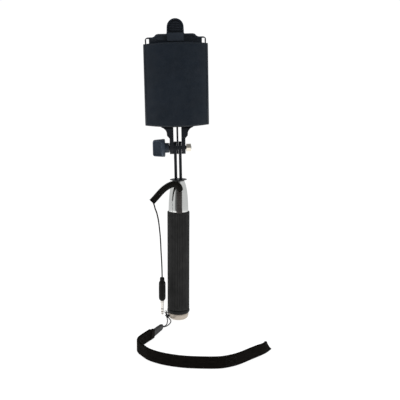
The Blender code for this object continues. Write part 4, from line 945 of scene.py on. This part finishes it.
def end_cap():
    """The satin bowl at the foot, with a fine turned line."""
    bowl = [(7.8 + 4.8 * u, 5.8 * (1 + v)) for u, v in arc(0.0, 0.0, 1.0, 0, -90, 18)]
    profile = [(0.0, 14.0), (9.7, 14.0), (10.1, 13.6), (10.1, 8.2), (12.3, 8.2), (12.6, 7.9), (12.6, 7.4),
               (12.42, 7.25), (12.42, 6.95), (12.6, 6.8)]
    profile += bowl + [(7.0, 0.0), (6.7, 0.25), (0.0, 0.25)]
    cap = lathe("end_cap_turned", profile, 128, soft=0.2)
    stand_for(cap, "handle", CAP_METAL, "cap_metal", "end_cap")


def collar():
    """The long plated cone between the grip and the tubes."""
    outer = [(6.95, 173.2), (7.25, 173.1), (7.35, 172.6), (7.6, 171.6), (8.1, 170.3), (8.6, 169.0),
             (9.1, 167.3), (9.5, 165.6), (10.05, 163.0), (10.5, 160.5), (10.9, 157.3), (11.2, 154.0),
             (11.48, 150.5), (11.7, 147.0), (11.9, 142.0), (12.1, 135.7)]
    inner = [(10.1, 135.7), (10.1, 126.0), (9.3, 126.0), (9.3, 152.0), (6.9, 157.0)]
    cone = lathe("collar_cone", outer + inner, 160, ring=True, soft=0.35, angle=50.0)
    stand_for(cone, "handle", CHROME, "collar_chrome", "taper_collar")


def shutter_button():
    """The oval key with its dished face, in a surround set into the grip."""
    place = Matrix.Translation((0, 0, BUTTON_Z))
    bezel = prism("button_surround", stadium(6.0, 13.0), 11.6, 14.3, 'Y', 0.45, place)
    hole = prism("hole", stadium(4.3, 11.0), 10.0, 16.0, 'Y', 0.0, place)
    bezel = cut_out(bezel, hole)
    stand_for(bezel, "handle", BUTTON_PLASTIC, "button_plastic", "button_bezel")
    cap = prism("button_key", stadium(4.0, 10.7), 12.0, 15.1, 'Y', 0.8, place)
    dish_place = Matrix.Translation((0, 14.75 * MM, BUTTON_Z)) @ spin(-90, 'X')
    dish = lathe("dish", [(0.0, 3.0), (2.6, 3.0), (2.6, 0.35), (2.1, 0.05), (0.0, -0.1)], 40, soft=0.3,
                 place=dish_place)
    cap = cut_out(cap, dish)
    stand_for(cap, "button", BUTTON_PLASTIC, "button_plastic", "shutter_button")


def tubes():
    """The fixed tube and the five sliding tubes, each with a rolled mouth."""
    def mouth(outer, inner, low, high):
        neck = 0.17
        return [(outer - neck - 0.12, high), (outer - neck, high - 0.12), (outer, high - 2.6), (outer, low),
                (inner, low), (inner, high - 2.6), (inner - neck, high)]
    fixed = lathe("fixed_tube_drawn", mouth(6.7, 6.3, 15.2, 172.4), 96, ring=True, soft=0.1)
    stand_for(fixed, "handle", STEEL_TUBE, "tube_steel", "fixed_tube")
    for stage in range(1, STAGE_COUNT + 1):
        outer = 6.0 - 0.7 * (stage - 1)
        low = 26.0 + 7.0 * (stage - 1)
        high = 172.6 + 0.2 * (stage - 1)
        piece = lathe(f"stage_{stage}_plated", mouth(outer, outer - 0.4, low, high), 80, ring=True, soft=0.1)
        stand_for(piece, f"stage_{stage}", STAGE_CHROME, "tube_chrome", f"stage_tube_{stage}")


# ---------------------------------------------------------------- head and holder

def holder_shell():
    """The curved back: a thin wall with rolled sides, bowed top and bottom edges and soft lips."""
    half, front_y, edge_y, rear_y, wall = 38.1, -9.5, -3.5, 3.0, 1.8
    sag = edge_y - front_y
    curve_radius = (36.0 ** 2 + sag ** 2) / (2 * sag)
    reach = math.degrees(math.asin(35.4 / curve_radius))

    def half_section(inset):
        front = arc(0.0, front_y + curve_radius, curve_radius - inset, -90, -90 + reach, 15)
        side = half - inset
        start_y = front[-1][1]
        turn = [(side - 2.5, start_y + 0.34), (side - 2.25, start_y + 0.30), (side - 1.95, start_y - 0.02),
                (side - 1.5, start_y - 0.14), (side - 1.0, start_y + 0.10), (side - 0.55, start_y + 0.55),
                (side - 0.2, start_y + 1.25), (side - 0.03, start_y + 2.2), (side, start_y + 3.6)]
        return front + turn + [(side, rear_y - 0.6), (side, rear_y)]

    outer = half_section(0.0)
    inner = half_section(wall)
    outer = [(-u, v) for u, v in reversed(outer[1:])] + outer
    inner = [(-u, v) for u, v in reversed(inner[1:])] + inner
    lip = 0.55
    levels = []
    for step in range(5):
        angle = math.radians(90 * step / 4)
        levels.append((lip * (1 - math.sin(angle)), lip * (1 - math.cos(angle))))
    groove = [(1.5, 0.0), (1.65, 0.13), (1.95, 0.13), (2.1, 0.0)]

    def edge_height(u, top):
        bow = 2.1 * (1 - (u / half) ** 2)
        return 335.5 + bow if top else 240.4 - bow

    shape = bmesh.new()
    rings = []
    rows = [(drop, shrink, True) for drop, shrink in levels + groove]
    rows += [(drop, shrink, False) for drop, shrink in reversed(levels + groove)]
    for wall_side, skin, other in ((0, outer, inner), (1, inner, outer)):
        order = rows if wall_side == 0 else rows[::-1]
        for drop, shrink, top in order:
            if wall_side == 1 and drop > lip:
                continue
            ring = []
            for (u, v), (a, b) in zip(skin, other):
                toward = Vector((a - u, b - v)).normalized() * shrink
                height = edge_height(u, top) + (-drop if top else drop)
                ring.append(shape.verts.new(Vector((u + toward.x, v + toward.y, height)) * MM))
            rings.append(ring)
    for upper, lower in zip(rings, rings[1:] + rings[:1]):
        for step in range(len(upper) - 1):
            shape.faces.new((upper[step], upper[step + 1], lower[step + 1], lower[step]))
    shape.faces.new([ring[0] for ring in rings])
    shape.faces.new([ring[-1] for ring in rings[::-1]])
    bmesh.ops.recalc_face_normals(shape, faces=shape.faces)
    mesh = bpy.data.meshes.new("holder_shell")
    shape.to_mesh(mesh)
    shape.free()
    mesh.transform(HEAD)
    shell = new_piece("holder_shell", mesh, 40.0)
    stand_for(shell, "holder", HOLDER_PLASTIC, "holder_plastic", "holder_back")


def moulded_parts():
    """Parts whose CAD shape is right: finer copies, with rounded edges."""
    parts = [
        ("head_fork", "head_fork_moulding", 0.16, "stage_5", FORK_PLASTIC, "fork_plastic"),
        ("holder_fork", "holder_fork_moulding", 0.22, "holder", FORK_PLASTIC, "fork_plastic"),
        ("thumb_knob", "thumb_knob_moulding", 0.35, "knob", KNOB_PLASTIC, "knob_plastic"),
        ("inner_cover", "inner_cover_plate", 0.30, "holder", COVER_PLASTIC, "cover_plastic"),
        ("lower_jaw", "lower_jaw_ledge", 0.25, "holder", JAW_PLASTIC, "jaw_plastic"),
        ("upper_jaw", "upper_jaw_bridge", 0.30, "jaw", JAW_PLASTIC, "jaw_plastic"),
        ("tab_grip", "tab_ribbed_face", 0.22, "jaw", TAB_RUBBER, "tab_rubber"),
        ("hex_nut", "hex_nut_plated", 0.20, "holder", NUT_METAL, "nut_chrome"),
        ("clamp_bolt", "clamp_bolt_turned", 0.15, "knob", BLACKENED, "clamp_black"),
        ("bolt_washer", "bolt_washer_blackened", 0.10, "washer", BLACKENED, "clamp_black"),
    ]
    for node, name, width, body, material, slot in parts:
        stand_for(refined(node, name, width), body, material, slot, node)


def pads():
    """Rubber pads with fine ribs across the phone's back and along the jaws."""
    ridges = [(3.1, 264.0)]
    for index in range(30):
        base = 264.4 + index * 1.98
        ridges += [(3.9, base), (4.2, base + 0.35), (4.2, base + 1.15), (3.9, base + 1.5)]
    ridges += [(3.1, 324.0)]
    back = prism("back_pad_ribbed", ridges, -27.0, 27.0, 'X', 0.0, HEAD)
    stand_for(back, "holder", PAD_RUBBER, "pad_rubber", "back_pad")
    for node, name, body, low, high, face in (("lower_pad", "lower_pad_ribbed", "holder", 261.6, 262.8, 1),
                                              ("upper_pad", "upper_pad_ribbed", "jaw", 337.2, 338.1, -1)):
        start = 4.6 if face > 0 else 4.4
        plain, proud = (low, high) if face > 0 else (high, low)
        rim = [(start, plain)]
        for index in range(6):
            base = start + 0.15 + index * (15.2 - start - 0.3) / 6
            rim += [(base, proud - face * 0.3), (base + 0.3, proud), (base + 1.1, proud),
                    (base + 1.4, proud - face * 0.3)]
        rim += [(15.2, plain)]
        piece = prism(name, rim, -22.0, 22.0, 'X', 0.0, HEAD)
        stand_for(piece, body, PAD_RUBBER, "pad_rubber", node)


def screws():
    """Pan-head screws with a cross recess, where the frame has them in sight."""
    names = [f"cover_screw_{number}" for number in range(1, 5)] + ["jaw_screw_left", "jaw_screw_right"]
    for name in names:
        low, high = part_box(name)
        centre = (low + high) / 2
        length = (high.y - low.y) / MM
        profile = [(0.0, 0.0), (1.2, 0.0), (1.9, -0.28), (2.15, -0.62), (2.2, -1.1), (1.0, -1.1),
                   (1.0, -length + 0.8), (0.3, -length + 0.1), (0.0, -length + 0.1)]
        turn = Matrix.Translation((centre.x, high.y, centre.z)) @ spin(-90, 'X')
        screw = lathe(name + "_pan_head", profile, 40, soft=0.2)
        slot_outline = [(-1.35, -0.24), (1.35, -0.24), (1.35, 0.24), (-1.35, 0.24)]
        for angle in (20, 110):
            arm = prism("arm", slot_outline, -0.75, 0.5, 'Z', 0.0, spin(angle, 'Z'))
            screw = cut_out(screw, arm)
        screw.data.transform(turn)
        stand_for(screw, "holder", ZINC, "screw_steel", name)


def hidden_parts():
    """Inner parts keep their CAD shape and take a material of their own."""
    looks = {"handle_tube": STEEL_TUBE, "base_bush": NYLON, "inner_lead": CORD_JACKET, "switch_board": BOARD,
             "tact_switch": SWITCH_PLASTIC, "head_roll_pin": ZINC, "fork_screw_left": ZINC,
             "fork_screw_right": ZINC, "jaw_spring_left": SPRING_METAL, "jaw_spring_right": SPRING_METAL}
    for stage in range(1, STAGE_COUNT + 1):
        looks[f"slide_bush_{stage}"] = BRASS
    for node, material in looks.items():
        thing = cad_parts[node]
        thing.data.materials.clear()
        thing.data.materials.append(material)


camera()
studio()
floor()
lead()
strap()
grip()
end_cap()
collar()
shutter_button()
tubes()
holder_shell()
moulded_parts()
pads()
screws()
hidden_parts()
